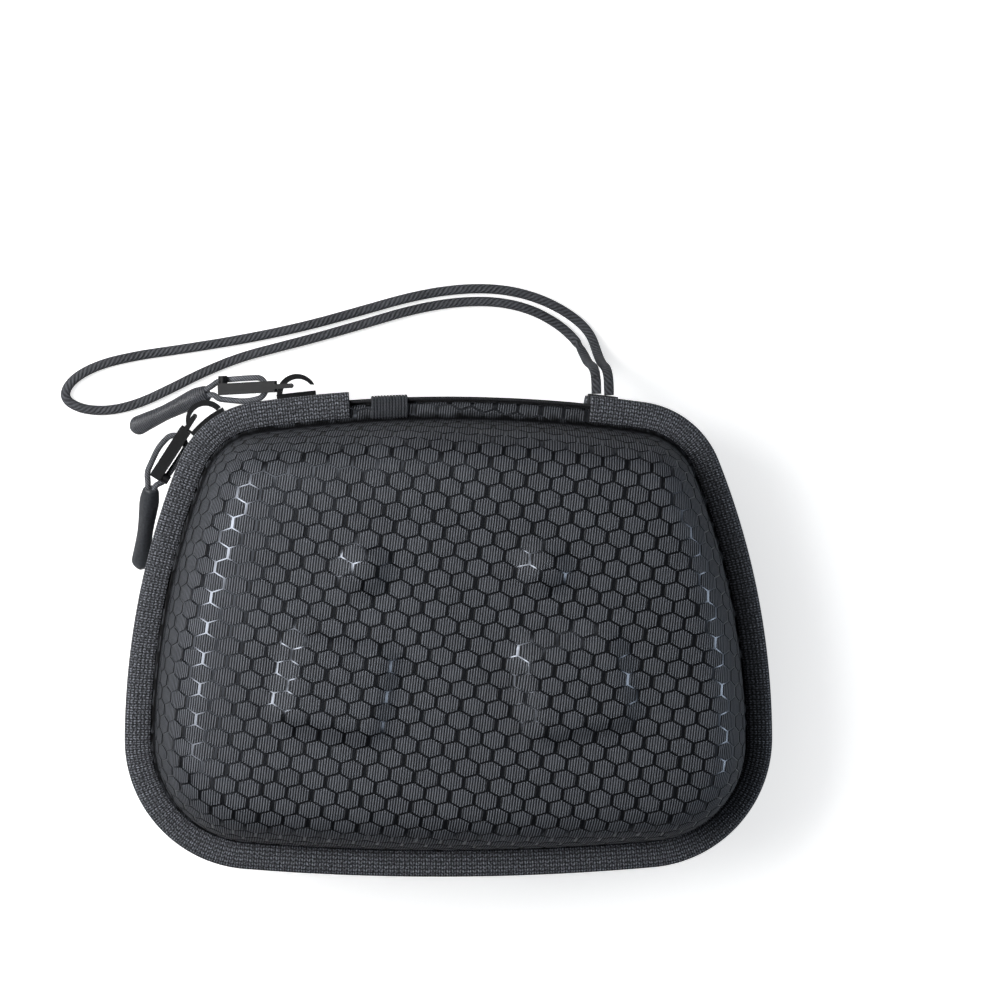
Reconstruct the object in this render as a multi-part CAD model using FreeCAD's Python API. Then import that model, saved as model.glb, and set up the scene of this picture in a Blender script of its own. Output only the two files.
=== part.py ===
import FreeCAD, Part
import math
import os

V = FreeCAD.Vector

# Hard zipped carrying case, lying on its back shell.
# Millimetres. Origin at the centre of the flat back, +Z up, +Y towards the hinge.

# Rim outline, seen from the front: big tangent arcs joined by corner arcs
half_width = 93.4
side_radius = 220.0
widest_y = -32.0
top_y = 70.3
top_radius = 400.0
bottom_y = -70.5
bottom_radius = 700.0
top_corner_flat = 1.9
bottom_corner_flat = 12.4

# Moulded half shell: flange, steep wall, two rounding arcs, flat plateau
shell_wall = 3.0
flange_gap = 5.5
flange_thick = 3.0
flange_inset = 0.9
wall_foot = 8.0
wall_slope = 82.0
wall_rise = 9.0
shoulder_radius = 30.0
shoulder_slope = 55.0
crown_radius = 13.0

# Binding tape folded over the flange edge
binding_thick = 0.9
binding_cover = 7.5
binding_lip = 2.2
binding_round = 1.5

# Zipper: woven tape, nylon coil, gap left for the slider's bridge
tape_thick = 0.8
tape_toe = 4.0
coil_width = 2.2
coil_bulge = 1.3
coil_gap = 0.8

# Hinge zone on the top arc: how far its ends keep from the arc's ends
hinge_left_gap = 27.5
hinge_right_gap = 15.5
hinge_edge = 3.4
fold_thick = 1.2
fold_depth = 3.6

# Thread whipping round the front hinge band, after a gap from the hinge's left end
whip_gap = 6.5
whip_turns = 12
whip_pitch = 0.87
whip_thick = 1.3
whip_ridge = 0.35

# Relief of the front: two round domes and two turned rounded squares
relief_height = 2.0
relief_flank = 4.0
dome_x = 24.9
dome_y = 20.5
dome_radius = 8.4
pad_x = 33.2
pad_y = -12.0
pad_width = 34.8
pad_height = 32.0
pad_corner = 7.5
pad_turn = 10.4

# Raised hexagons of the embossed fabric
hex_pitch = 6.9
hex_row = 4.25
hex_width = 6.0
hex_side = 2.6
hex_tip = 1.3
hex_height = 0.35
hex_turn = -7.0

# Slider: outer plate, inner plate, bridge, open hook
slider_length = 11.4
slider_plate = 1.8
slider_half = 4.1
slider_clear = 0.35
slider_bridge = 1.2
slider_inner = 1.2
hook_length = 11.2
hook_height = 5.3
hook_band = 1.6
hook_width = 1.6
left_slider_turn = 129.0
top_slider_gap = 12.5

# Pull: forked metal tab with a stub, cord loop, rubber grip
pin_radius = 0.7
fork_gap = 0.75
fork_cheek = 0.7
fork_length = 5.2
tab_length = 21.0
tab_width = 3.4
tab_slot = 3.6
slot_height = 2.2
stub_radius = 1.3
stub_length = 2.2
stub_lift = 0.6
cord_radius = 0.85
cord_bulge = 1.3
grip_gap = 4.0
grip_length = 31.0
grip_width = 5.8
grip_waist = 4.6
grip_thick = 4.4
grip_end_thick = 3.2
grip_socket = 2.4
left_pull_turn = -123.0
left_pull_droop = 8.0
left_grip_turn = -100.0
left_grip_droop = 36.0
top_pull_turn = 183.0
top_pull_droop = 12.0
top_grip_turn = 205.0
top_grip_droop = 34.0

# Wrist strap: one tape, both ends sewn in at the right end of the hinge
strap_diameter = 3.0
anchor_width = 8.4
anchor_out = 0.6
anchor_thick = 3.8
anchor_clear = 0.3
zip_end_clear = 0.1

# Derived sizes
steep = math.radians(wall_slope)
soft = math.radians(shoulder_slope)


def wall_line():
    """Outer wall as (inset, height) corners with the two arcs' middles."""
    foot = (wall_foot, flange_gap + flange_thick)
    rise = (foot[0] + wall_rise / math.tan(steep), foot[1] + wall_rise)
    mid1 = 0.5 * (steep + soft)
    turn1 = (
        rise[0] + shoulder_radius * (math.sin(steep) - math.sin(mid1)),
        rise[1] + shoulder_radius * (math.cos(mid1) - math.cos(steep)),
    )
    end1 = (
        rise[0] + shoulder_radius * (math.sin(steep) - math.sin(soft)),
        rise[1] + shoulder_radius * (math.cos(soft) - math.cos(steep)),
    )
    mid2 = 0.5 * soft
    turn2 = (
        end1[0] + crown_radius * (math.sin(soft) - math.sin(mid2)),
        end1[1] + crown_radius * (math.cos(mid2) - math.cos(soft)),
    )
    end2 = (
        end1[0] + crown_radius * math.sin(soft),
        end1[1] + crown_radius * (1.0 - math.cos(soft)),
    )
    return foot, rise, turn1, end1, turn2, end2


WALL = wall_line()
plateau_inset = WALL[5][0]
half_depth = WALL[5][1]
parting = half_depth
web_inset = binding_lip
slot_start = fork_length + 0.8
top_corner = plateau_inset + top_corner_flat
bottom_corner = plateau_inset + bottom_corner_flat


def meet(c0, r0, c1, r1, upper, right):
    """Crossing of two circles, the upper or lower, right or left one."""
    dx = c1[0] - c0[0]
    dy = c1[1] - c0[1]
    d = math.hypot(dx, dy)
    a = (r0 * r0 - r1 * r1 + d * d) / (2.0 * d)
    h = math.sqrt(r0 * r0 - a * a)
    px = c0[0] + a * dx / d
    py = c0[1] + a * dy / d
    both = [(px - h * dy / d, py + h * dx / d), (px + h * dy / d, py - h * dx / d)]
    both.sort(key=lambda q: (q[0] if right else -q[0]) + (q[1] if upper else -q[1]))
    return both[-1]


def direction(c, q):
    """Direction from c to q in degrees."""
    return math.degrees(math.atan2(q[1] - c[1], q[0] - c[0]))


def outline():
    """The rim's arcs, anticlockwise: name, centre, radius, start, end."""
    right = (half_width - side_radius, widest_y)
    left = (-right[0], widest_y)
    top = (0.0, top_y - top_radius)
    bottom = (0.0, bottom_y + bottom_radius)
    tr = meet(right, side_radius - top_corner, top, top_radius - top_corner, True, True)
    br = meet(right, side_radius - bottom_corner, bottom, bottom_radius - bottom_corner, False, True)
    tl = (-tr[0], tr[1])
    bl = (-br[0], br[1])
    side_low = direction(right, br)
    side_high = direction(right, tr)
    top_low = direction(top, tr)
    bottom_right = direction(bottom, br)
    return [
        ("right", right, side_radius, side_low, side_high),
        ("top_right", tr, top_corner, side_high, top_low),
        ("top", top, top_radius, top_low, 180.0 - top_low),
        ("top_left", tl, top_corner, 180.0 - top_low, 180.0 - side_high),
        ("left", left, side_radius, 180.0 - side_high, 180.0 - side_low),
        ("bottom_left", bl, bottom_corner, 180.0 - side_low, 180.0 - bottom_right),
        ("bottom", bottom, bottom_radius, -180.0 - bottom_right, bottom_right),
        ("bottom_right", br, bottom_corner, bottom_right, side_low),
    ]


ARCS = {arc[0]: arc[1:] for arc in outline()}

# Places along the top arc, from its ends inwards
top_end = top_radius * math.cos(math.radians(ARCS["top"][2]))
hinge_left = hinge_left_gap - top_end
hinge_right = top_end - hinge_right_gap
whip_start = hinge_left + whip_gap
top_slider_x = top_slider_gap - top_end
anchor_start = hinge_right + anchor_clear
zip_right_end = anchor_start + anchor_width + zip_end_clear


def top_turn(x):
    """Direction on the top arc of the rim point at x."""
    return math.degrees(math.acos(x / top_radius))


def sectors(first_x, last_x):
    """All rim arcs from first_x on the top, anticlockwise round to last_x."""
    c, r, low, high = ARCS["top"]
    order = ["top_left", "left", "bottom_left", "bottom", "bottom_right", "right", "top_right"]
    found = [(c, r, top_turn(first_x), high)]
    for name in order:
        found.append(ARCS[name])
    found.append((c, r, low, top_turn(last_x)))
    return found


def hinge_sector(first_x, last_x):
    """The piece of the top arc between two x values."""
    c, r = ARCS["top"][:2]
    return (c, r, top_turn(last_x), top_turn(first_x))


def swept(section, arc, side):
    """A section drawn in (inset, height), turned about one arc's centre."""
    c, r, start, end = arc

    def place(q):
        return V(r - q[0], 0, parting + side * q[1])

    edges = []
    for step in section:
        if len(step) == 2:
            edges.append(Part.LineSegment(place(step[0]), place(step[1])).toShape())
        else:
            edges.append(Part.Arc(place(step[0]), place(step[1]), place(step[2])).toShape())
    face = Part.Face(Part.Wire(edges))
    turned = face.revolve(V(0, 0, 0), V(0, 0, 1), end - start)
    turned.rotate(V(0, 0, 0), V(0, 0, 1), start)
    turned.translate(V(c[0], c[1], 0))
    return Part.Solid(Part.Shell(turned.Faces)) if turned.ShapeType != "Solid" else turned


def band(section, arcs, side):
    """A section swept along several rim arcs and joined."""
    pieces = [swept(section, arc, side) for arc in arcs]
    whole = pieces[0].multiFuse(pieces[1:]) if len(pieces) > 1 else pieces[0]
    return whole.removeSplitter()


def polygon(points):
    """Straight closed section through the points."""
    return [(points[i], points[(i + 1) % len(points)]) for i in range(len(points))]


def normal_out(slope, q, t):
    """Point q moved by t to the inner side of a line of this slope."""
    return (q[0] + t * math.sin(slope), q[1] - t * math.cos(slope))


def shell_section(edge):
    """Half shell from the flange edge to the plateau."""
    foot, rise, turn1, end1, turn2, end2 = WALL
    low = (edge, flange_gap)
    high = (edge, foot[1])
    rise_in = normal_out(steep, rise, shell_wall)
    turn1_in = normal_out(0.5 * (steep + soft), turn1, shell_wall)
    end1_in = normal_out(soft, end1, shell_wall)
    turn2_in = normal_out(0.5 * soft, turn2, shell_wall)
    end2_in = (end2[0], end2[1] - shell_wall)
    down = (rise_in[0] - (rise_in[1] - flange_gap) / math.tan(steep), flange_gap)
    return [
        (low, high),
        (high, foot),
        (foot, rise),
        (rise, turn1, end1),
        (end1, turn2, end2),
        (end2, end2_in),
        (end2_in, turn2_in, end1_in),
        (end1_in, turn1_in, rise_in),
        (rise_in, down),
        (down, low),
    ]


def plateau(inset, low, high):
    """Flat plate inside the outline moved in by inset."""
    edges = []
    for c, r, start, end in [arc[1:] for arc in outline()]:
        q = []
        for turn in (start, 0.5 * (start + end), end):
            a = math.radians(turn)
            q.append(V(c[0] + (r - inset) * math.cos(a), c[1] + (r - inset) * math.sin(a), low))
        edges.append(Part.Arc(q[0], q[1], q[2]).toShape())
    face = Part.Face(Part.Wire(Part.__sortEdges__(edges)))
    return face.extrude(V(0, 0, high - low))


def half_shell(side):
    """One moulded half: swept wall and flange, narrower at the hinge."""
    arcs = sectors(hinge_left, hinge_right)
    pieces = [swept(shell_section(flange_inset), arc, side) for arc in arcs]
    pieces.append(swept(shell_section(hinge_edge), hinge_sector(hinge_left, hinge_right), side))
    inner = parting + side * (half_depth - shell_wall)
    outer = parting + side * half_depth
    pieces.append(plateau(plateau_inset, min(inner, outer), max(inner, outer)))
    return pieces[0].multiFuse(pieces[1:]).removeSplitter()


def rounded_box(width, height, corner, low):
    """Closed wire of a rounded rectangle at a height."""
    hw = 0.5 * width
    hh = 0.5 * height
    k = corner * (1.0 - math.sqrt(0.5))
    spots = [(1, -1), (1, 1), (-1, 1), (-1, -1)]
    edges = []
    last = None
    first = None
    for sx, sy in spots:
        a = V(sx * hw, sy * (hh - corner), low)
        b = V(sx * (hw - corner), sy * hh, low)
        m = V(sx * (hw - k), sy * (hh - k), low)
        if sx * sy < 0:
            a, b = b, a
        if last is None:
            first = a
        else:
            edges.append(Part.LineSegment(last, a).toShape())
        edges.append(Part.Arc(a, m, b).toShape())
        last = b
    edges.append(Part.LineSegment(last, first).toShape())
    return Part.Wire(edges)


def relief(base, grow):
    """Two domes and two turned rounded squares standing on a height."""
    found = []
    for sx in (-1, 1):
        dome = Part.makeCone(dome_radius + grow, dome_radius + grow - relief_flank, relief_height)
        dome.translate(V(sx * dome_x, dome_y, base))
        found.append(dome)
        wide = rounded_box(pad_width + 2 * grow, pad_height + 2 * grow, pad_corner + grow, 0)
        inner_w = pad_width + 2 * grow - 2 * relief_flank
        inner_h = pad_height + 2 * grow - 2 * relief_flank
        narrow = rounded_box(inner_w, inner_h, pad_corner + grow - 0.6 * relief_flank, relief_height)
        pad = Part.makeLoft([wide, narrow], True, True)
        pad.rotate(V(0, 0, 0), V(0, 0, 1), sx * pad_turn)
        pad.translate(V(sx * pad_x, pad_y, base))
        found.append(pad)
    return found


def relief_side(x, y):
    """0 on the plateau, 1 on a relief top, None on a flank."""
    reach = 0.5 * hex_side + hex_tip + 0.3
    spot = 0
    for sx in (-1, 1):
        r = math.hypot(x - sx * dome_x, y - dome_y)
        if r < dome_radius + reach:
            spot = None
        a = math.radians(-sx * pad_turn)
        px = (x - sx * pad_x) * math.cos(a) - (y - pad_y) * math.sin(a)
        py = (x - sx * pad_x) * math.sin(a) + (y - pad_y) * math.cos(a)
        out_x = abs(px) - 0.5 * pad_width
        out_y = abs(py) - 0.5 * pad_height
        if max(out_x, out_y) < reach:
            spot = 1 if max(out_x, out_y) < -relief_flank - reach else None
    return spot


def inside_outline(x, y, inset):
    """True where a point lies inside the outline moved in by inset."""
    for name in ("right", "left", "top", "bottom"):
        c, r = ARCS[name][:2]
        if math.hypot(x - c[0], y - c[1]) > r - inset:
            return False
    for name in ("top_left", "top_right", "bottom_left", "bottom_right"):
        c, r, start, end = ARCS[name]
        turn = direction(c, (x, y))
        while turn < start:
            turn += 360.0
        if turn <= end and math.hypot(x - c[0], y - c[1]) > r - inset:
            return False
    return True


def hexagon(x, y, low, height):
    """One raised cell, point up, turned with the fabric."""
    hw = 0.5 * hex_width
    hs = 0.5 * hex_side
    tip = hs + hex_tip
    spots = [(0, tip), (-hw, hs), (-hw, -hs), (0, -tip), (hw, -hs), (hw, hs)]
    a = math.radians(hex_turn)
    ring = []
    for u, v in spots:
        ring.append(V(x + u * math.cos(a) - v * math.sin(a), y + u * math.sin(a) + v * math.cos(a), low))
    face = Part.Face(Part.makePolygon(ring + [ring[0]]))
    return face.extrude(V(0, 0, height))


def hexagons():
    """Cells on the flat parts of the front."""
    a = math.radians(hex_turn)
    top = parting + half_depth
    reach = 0.5 * hex_side + hex_tip
    rows = int(110.0 / hex_row)
    cols = int(110.0 / hex_pitch)
    found = []
    for j in range(-rows, rows + 1):
        for i in range(-cols, cols + 1):
            u = (i + 0.5 * (j % 2)) * hex_pitch
            v = j * hex_row
            x = u * math.cos(a) - v * math.sin(a)
            y = u * math.sin(a) + v * math.cos(a)
            level = relief_side(x, y)
            if level is None or not inside_outline(x, y, plateau_inset + reach):
                continue
            found.append(hexagon(x, y, top + level * relief_height, hex_height))
    return found


def front_shell():
    """Front half with relief pressed outwards and raised cells."""
    shell = half_shell(1)
    top = parting + half_depth
    shell = shell.multiFuse(relief(top, 0.0))
    hollow = relief(top - shell_wall, -0.5)
    shell = shell.cut(Part.makeCompound(hollow))
    return shell.multiFuse(hexagons())


def binding_section():
    """Tape folded round the flange edge, rounded outside."""
    low = flange_gap - binding_thick
    high = flange_gap + flange_thick + binding_thick
    top = flange_gap + flange_thick
    k = binding_round * (1.0 - math.sqrt(0.5))
    inner = flange_inset
    return [
        ((binding_lip, low), (binding_round, low)),
        ((binding_round, low), (k, low + k), (0.0, low + binding_round)),
        ((0.0, low + binding_round), (0.0, high - binding_round)),
        ((0.0, high - binding_round), (k, high - k), (binding_round, high)),
        ((binding_round, high), (binding_cover, high)),
        ((binding_cover, high), (binding_cover, top)),
        ((binding_cover, top), (inner, top)),
        ((inner, top), (inner, flange_gap)),
        ((inner, flange_gap), (binding_lip, flange_gap)),
        ((binding_lip, flange_gap), (binding_lip, low)),
    ]


def tape_section():
    """Zipper tape: upright web under the flange and a sewn toe."""
    out = web_inset
    inn = web_inset + tape_thick
    toe = inn + tape_toe
    return polygon(
        [
            (out, coil_gap),
            (inn, coil_gap),
            (inn, flange_gap - tape_thick),
            (toe, flange_gap - tape_thick),
            (toe, flange_gap),
            (out, flange_gap),
        ]
    )


def coil_section():
    """Half of the closed coil, sewn on the outside of the tape's web."""
    low = coil_gap
    high = coil_gap + coil_width
    back = web_inset
    shoulder = back - 0.35 * coil_bulge
    return [
        ((back, low), (shoulder, low)),
        ((shoulder, low), (back - coil_bulge, 0.5 * (low + high)), (shoulder, high)),
        ((shoulder, high), (back, high)),
        ((back, high), (back, low)),
    ]


def hinge_fold():
    """Fabric web between the two hinge bands, pleated inwards."""
    out = hinge_edge - fold_thick
    deep = out + fold_depth
    mouth = flange_gap
    high = flange_gap + flange_thick
    points = [
        (hinge_edge, high),
        (out, high),
        (out, mouth - 0.6),
        (deep, 0.6),
        (deep, -0.6),
        (out, -mouth + 0.6),
        (out, -high),
        (hinge_edge, -high),
        (hinge_edge, -mouth + 0.2),
        (deep + fold_thick, -1.0),
        (deep + fold_thick, 1.0),
        (hinge_edge, mouth - 0.2),
    ]
    return band(polygon(points), [hinge_sector(hinge_left, hinge_right)], 1)


def hinge_whipping():
    """Turns of thread wound round the front hinge band."""
    top = flange_gap + flange_thick
    out = hinge_edge - fold_thick
    end = wall_foot - 0.4

    def section(extra):
        return polygon(
            [
                (out, 2.6),
                (out, top),
                (end, top),
                (end, top + 0.6 * whip_thick + extra),
                (out - 0.4, top + whip_thick + extra),
                (out - whip_thick - extra, top + 0.3),
                (out - whip_thick - extra, 3.2),
                (out - 0.5, 2.6),
            ]
        )

    last_x = whip_start + whip_turns * whip_pitch
    pieces = [swept(section(0.0), hinge_sector(whip_start, last_x), 1)]
    for i in range(whip_turns):
        x = whip_start + (i + 0.15) * whip_pitch
        pieces.append(swept(section(whip_ridge), hinge_sector(x, x + 0.6 * whip_pitch), 1))
    return pieces[0].multiFuse(pieces[1:])


def frame_at(c, r, turn):
    """Place on the rim: point, direction along the rim and outwards."""
    a = math.radians(turn)
    out = V(math.cos(a), math.sin(a), 0)
    along = V(-math.sin(a), math.cos(a), 0)
    return V(c[0] + r * out.x, c[1] + r * out.y, parting), along, out


def hook(point, along, out, width):
    """Open hook on the slider, its foot at the nose."""
    half = 0.5 * hook_length
    low = hook_height * 0.3

    def at(t, n):
        q = point + along * t + out * n
        return V(q.x, q.y, q.z - 0.5 * width)

    outer = Part.Arc(at(-half, -0.3), at(-0.05 * hook_length, hook_height), at(half, low))
    inner = Part.Arc(
        at(half - 0.8 * hook_band, low + 0.2),
        at(-0.05 * hook_length, hook_height - hook_band),
        at(-half + hook_band, -0.3),
    )
    edges = [
        outer.toShape(),
        Part.LineSegment(at(half, low), at(half - 0.8 * hook_band, low + 0.2)).toShape(),
        inner.toShape(),
        Part.LineSegment(at(-half + hook_band, -0.3), at(-half, -0.3)).toShape(),
    ]
    return Part.Face(Part.Wire(edges)).extrude(V(0, 0, width))


def slider(c, r, turn, tail):
    """Slider: plates on both sides of the chain, bridge, hook."""
    span = math.degrees(slider_length / r)
    arc = (c, r, turn - 0.5 * span, turn + 0.5 * span)
    face = web_inset - coil_bulge - slider_clear
    top = face - slider_plate
    lip = coil_gap + coil_width + slider_clear
    in_face = web_inset + tape_thick + slider_clear
    half_bridge = 0.5 * slider_bridge
    outer = polygon(
        [
            (top, -slider_half + 0.9),
            (top, slider_half - 0.9),
            (top + 0.9, slider_half),
            (web_inset - slider_clear, slider_half),
            (web_inset - slider_clear, lip),
            (face, lip),
            (face, -lip),
            (web_inset - slider_clear, -lip),
            (web_inset - slider_clear, -slider_half),
            (top + 0.9, -slider_half),
        ]
    )
    inner = polygon(
        [
            (in_face, -slider_half),
            (in_face, slider_half),
            (in_face + slider_inner, slider_half - 0.6),
            (in_face + slider_inner, -slider_half + 0.6),
        ]
    )
    bridge = polygon(
        [(face, -half_bridge), (face, half_bridge), (in_face, half_bridge), (in_face, -half_bridge)]
    )
    nose = 1.0 / 3.0 * span
    if tail > 0:
        bridge_arc = (c, r, arc[2], arc[2] + nose)
    else:
        bridge_arc = (c, r, arc[3] - nose, arc[3])
    body = swept(outer, arc, 1)
    point, along, out = frame_at(c, r - top, turn)
    parts = [swept(inner, arc, 1), swept(bridge, bridge_arc, 1), hook(point, along * tail, out, hook_width)]
    return body.multiFuse(parts).removeSplitter()


def hook_place(c, r, turn, tail, t, n):
    """Point inside the hook, t towards the tail and n above the plate."""
    top = web_inset - coil_bulge - slider_clear - slider_plate
    point, along, out = frame_at(c, r - top, turn)
    return point + along * (tail * t) + out * n


def tab(pin, turn, droop, stub_side):
    """Forked tab with a pin in the hook, a cord slot and an end stub."""
    half = 0.5 * hook_width + fork_gap + fork_cheek
    cheek = 2.0 * half
    bar = Part.makeBox(tab_length - fork_length + 1.0, tab_width, cheek, V(fork_length - 1.0, -0.5 * tab_width, -half))
    fork = Part.makeBox(fork_length, 2.0 * pin_radius, cheek, V(0, -pin_radius, -half))
    gap = 0.5 * hook_width + fork_gap
    slit = Part.makeBox(fork_length + pin_radius - 0.6, 6.0, 2.0 * gap, V(-pin_radius - 0.1, -3.0, -gap))
    ends = Part.makeCylinder(pin_radius, cheek, V(0, 0, -half))
    slot = Part.makeBox(tab_slot, tab_width + 2.0, slot_height, V(slot_start, -0.5 * tab_width - 1.0, -0.5 * slot_height))
    stub_root = V(tab_length - stub_radius, 0, stub_lift)
    stub = Part.makeCylinder(stub_radius, 0.5 * tab_width + stub_length, stub_root, V(0, stub_side, 0))
    whole = bar.multiFuse([fork, ends]).cut(Part.makeCompound([slit, slot]))
    whole = whole.multiFuse([Part.makeCylinder(pin_radius, cheek, V(0, 0, -half)), stub]).removeSplitter()
    whole.rotate(V(0, 0, 0), V(0, 1, 0), droop)
    whole.rotate(V(0, 0, 0), V(0, 0, 1), turn)
    whole.translate(pin)
    return whole


def placed(pin, turn, droop, u, w, v):
    """Point given along the tab, across it and above it."""
    a = math.radians(turn)
    d = math.radians(droop)
    level = u * math.cos(d) + v * math.sin(d)
    x = level * math.cos(a) - w * math.sin(a)
    y = level * math.sin(a) + w * math.cos(a)
    return V(pin.x + x, pin.y + y, pin.z - u * math.sin(d) + v * math.cos(d))


def tube(points, radius):
    """Round tube on straight runs joined by tangent arcs."""
    edges = []
    last = points[0]
    radii = []
    for i in range(1, len(points) - 1):
        a = (points[i - 1] - points[i])
        b = (points[i + 1] - points[i])
        short = min(a.Length, b.Length)
        a.normalize()
        b.normalize()
        turn = math.pi - math.acos(max(-1.0, min(1.0, a.dot(b))))
        cut = 0.45 * short
        radii.append(cut / math.tan(0.5 * turn))
        start = points[i] + a * cut
        end = points[i] + b * cut
        middle = (a + b)
        middle.normalize()
        reach = radii[-1] / math.cos(0.5 * turn) - radii[-1]
        edges.append(Part.LineSegment(last, start).toShape())
        edges.append(Part.Arc(start, points[i] + middle * reach, end).toShape())
        last = end
    edges.append(Part.LineSegment(last, points[-1]).toShape())
    path = Part.Wire(edges)
    way = points[1] - points[0]
    ring = Part.Wire(Part.makeCircle(radius, points[0], way))
    solid = path.makePipeShell([ring], True, False)
    share = solid.Volume / (math.pi * radius * radius * path.Length)
    print("tube", round(path.Length, 1), "mm, tightest arc", round(min(radii), 1), "volume share", round(share, 4))
    return solid


def pull_cord(pin, turn, droop, seat, grip_axis, side):
    """Cord through the tab's slot, along both its sides and into the grip."""
    start = slot_start + 0.34 * tab_slot
    middle = 0.62 * tab_length
    end = tab_length + 0.4
    w = 0.5 * tab_width + cord_radius + 0.15
    under = stub_lift - stub_radius - cord_radius - 0.2
    across = V(-grip_axis.y, grip_axis.x, 0)
    across.normalize()
    step = across * (side * (cord_radius + 0.15))

    def at(u, across_tab, up):
        return placed(pin, turn, droop, u, side * across_tab, up)

    points = [
        seat + step,
        seat + step - grip_axis * 3.4,
        at(end, w, under),
        at(middle, w + 0.2, 0.6 * under),
        at(start, w + 0.1, 0),
        at(start, -w - 0.1, 0),
        at(middle, -w - cord_bulge, 0),
        at(end, -w - 0.1, -0.5),
        seat - step - grip_axis * 3.4,
        seat - step,
    ]
    return tube(points, cord_radius)


def grip(root, axis):
    """Rubber grip: waisted outline crossed with a tapered side view."""
    hw = 0.5 * grip_width
    waist = 0.5 * grip_waist
    top = [
        Part.LineSegment(V(0, -0.8 * hw, -6), V(0, 0.8 * hw, -6)).toShape(),
        Part.Arc(V(0, 0.8 * hw, -6), V(0.12 * grip_length, hw, -6), V(0.25 * grip_length, 0.97 * hw, -6)).toShape(),
        Part.Arc(V(0.25 * grip_length, 0.97 * hw, -6), V(0.55 * grip_length, waist, -6),
                 V(0.9 * grip_length, hw, -6)).toShape(),
        Part.Arc(V(0.9 * grip_length, hw, -6), V(grip_length, 0, -6), V(0.9 * grip_length, -hw, -6)).toShape(),
        Part.Arc(V(0.9 * grip_length, -hw, -6), V(0.55 * grip_length, -waist, -6),
                 V(0.25 * grip_length, -0.97 * hw, -6)).toShape(),
        Part.Arc(V(0.25 * grip_length, -0.97 * hw, -6), V(0.12 * grip_length, -hw, -6), V(0, -0.8 * hw, -6)).toShape(),
    ]
    flat = Part.Face(Part.Wire(top)).extrude(V(0, 0, 12))
    ht = 0.5 * grip_thick
    he = 0.5 * grip_end_thick
    side = Part.makePolygon(
        [
            V(-1, -6, -0.75 * ht),
            V(-1, -6, 0.75 * ht),
            V(0.12 * grip_length, -6, ht),
            V(grip_length + 1, -6, he),
            V(grip_length + 1, -6, -he),
            V(0.12 * grip_length, -6, -ht),
            V(-1, -6, -0.75 * ht),
        ]
    )
    solid = flat.common(Part.Face(side).extrude(V(0, 12, 0)))
    long_edges = [e for e in solid.Edges if abs(e.BoundBox.YMax) > 0.5 * waist and e.BoundBox.XLength > 3.0]
    solid = solid.makeFillet(0.7, long_edges)
    socket = Part.makeBox(grip_socket, 4.6 * cord_radius + 0.6, 2.6 * cord_radius,
                          V(-0.5, -2.3 * cord_radius - 0.3, -1.3 * cord_radius))
    solid = solid.cut(socket)
    level = V(axis.x, axis.y, 0)
    turn = math.degrees(math.atan2(axis.y, axis.x))
    droop = math.degrees(math.atan2(-axis.z, level.Length))
    solid.rotate(V(0, 0, 0), V(0, 1, 0), droop)
    solid.rotate(V(0, 0, 0), V(0, 0, 1), turn)
    solid.translate(root)
    return solid


def pull(c, r, turn, tail, hook_t, hook_n, tab_turn, tab_droop, grip_turn, grip_droop, stub_side):
    """Tab, cord and grip of one pull, and its pin's place."""
    pin = hook_place(c, r, turn, tail, hook_t, hook_n)
    metal = tab(pin, tab_turn, tab_droop, stub_side)
    a = math.radians(grip_turn)
    d = math.radians(grip_droop)
    axis = V(math.cos(a) * math.cos(d), math.sin(a) * math.cos(d), -math.sin(d))
    middle = math.radians(0.5 * (tab_turn + grip_turn))
    bend = V(math.cos(middle) * 0.93, math.sin(middle) * 0.93, -0.37)
    root = placed(pin, tab_turn, tab_droop, tab_length, 0, 0) + bend * grip_gap
    seat = root + axis * (grip_socket - 0.55)
    lace = pull_cord(pin, tab_turn, tab_droop, seat, axis, stub_side)
    return metal, lace, grip(root, axis), pin


def strap_anchor():
    """Sewn end of the strap under the back flange at the hinge's right end."""
    arc = hinge_sector(anchor_start, anchor_start + anchor_width)
    low = -flange_gap
    points = [
        (-anchor_out, -flange_gap + binding_thick + 0.05),
        (-anchor_out, -flange_gap + binding_thick + anchor_thick),
        (wall_foot, -flange_gap + binding_thick + anchor_thick),
        (wall_foot, low),
        (binding_lip + 0.05, low),
        (binding_lip + 0.05, -flange_gap + binding_thick + 0.05),
    ]
    return band(polygon(points), [arc], 1)


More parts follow.
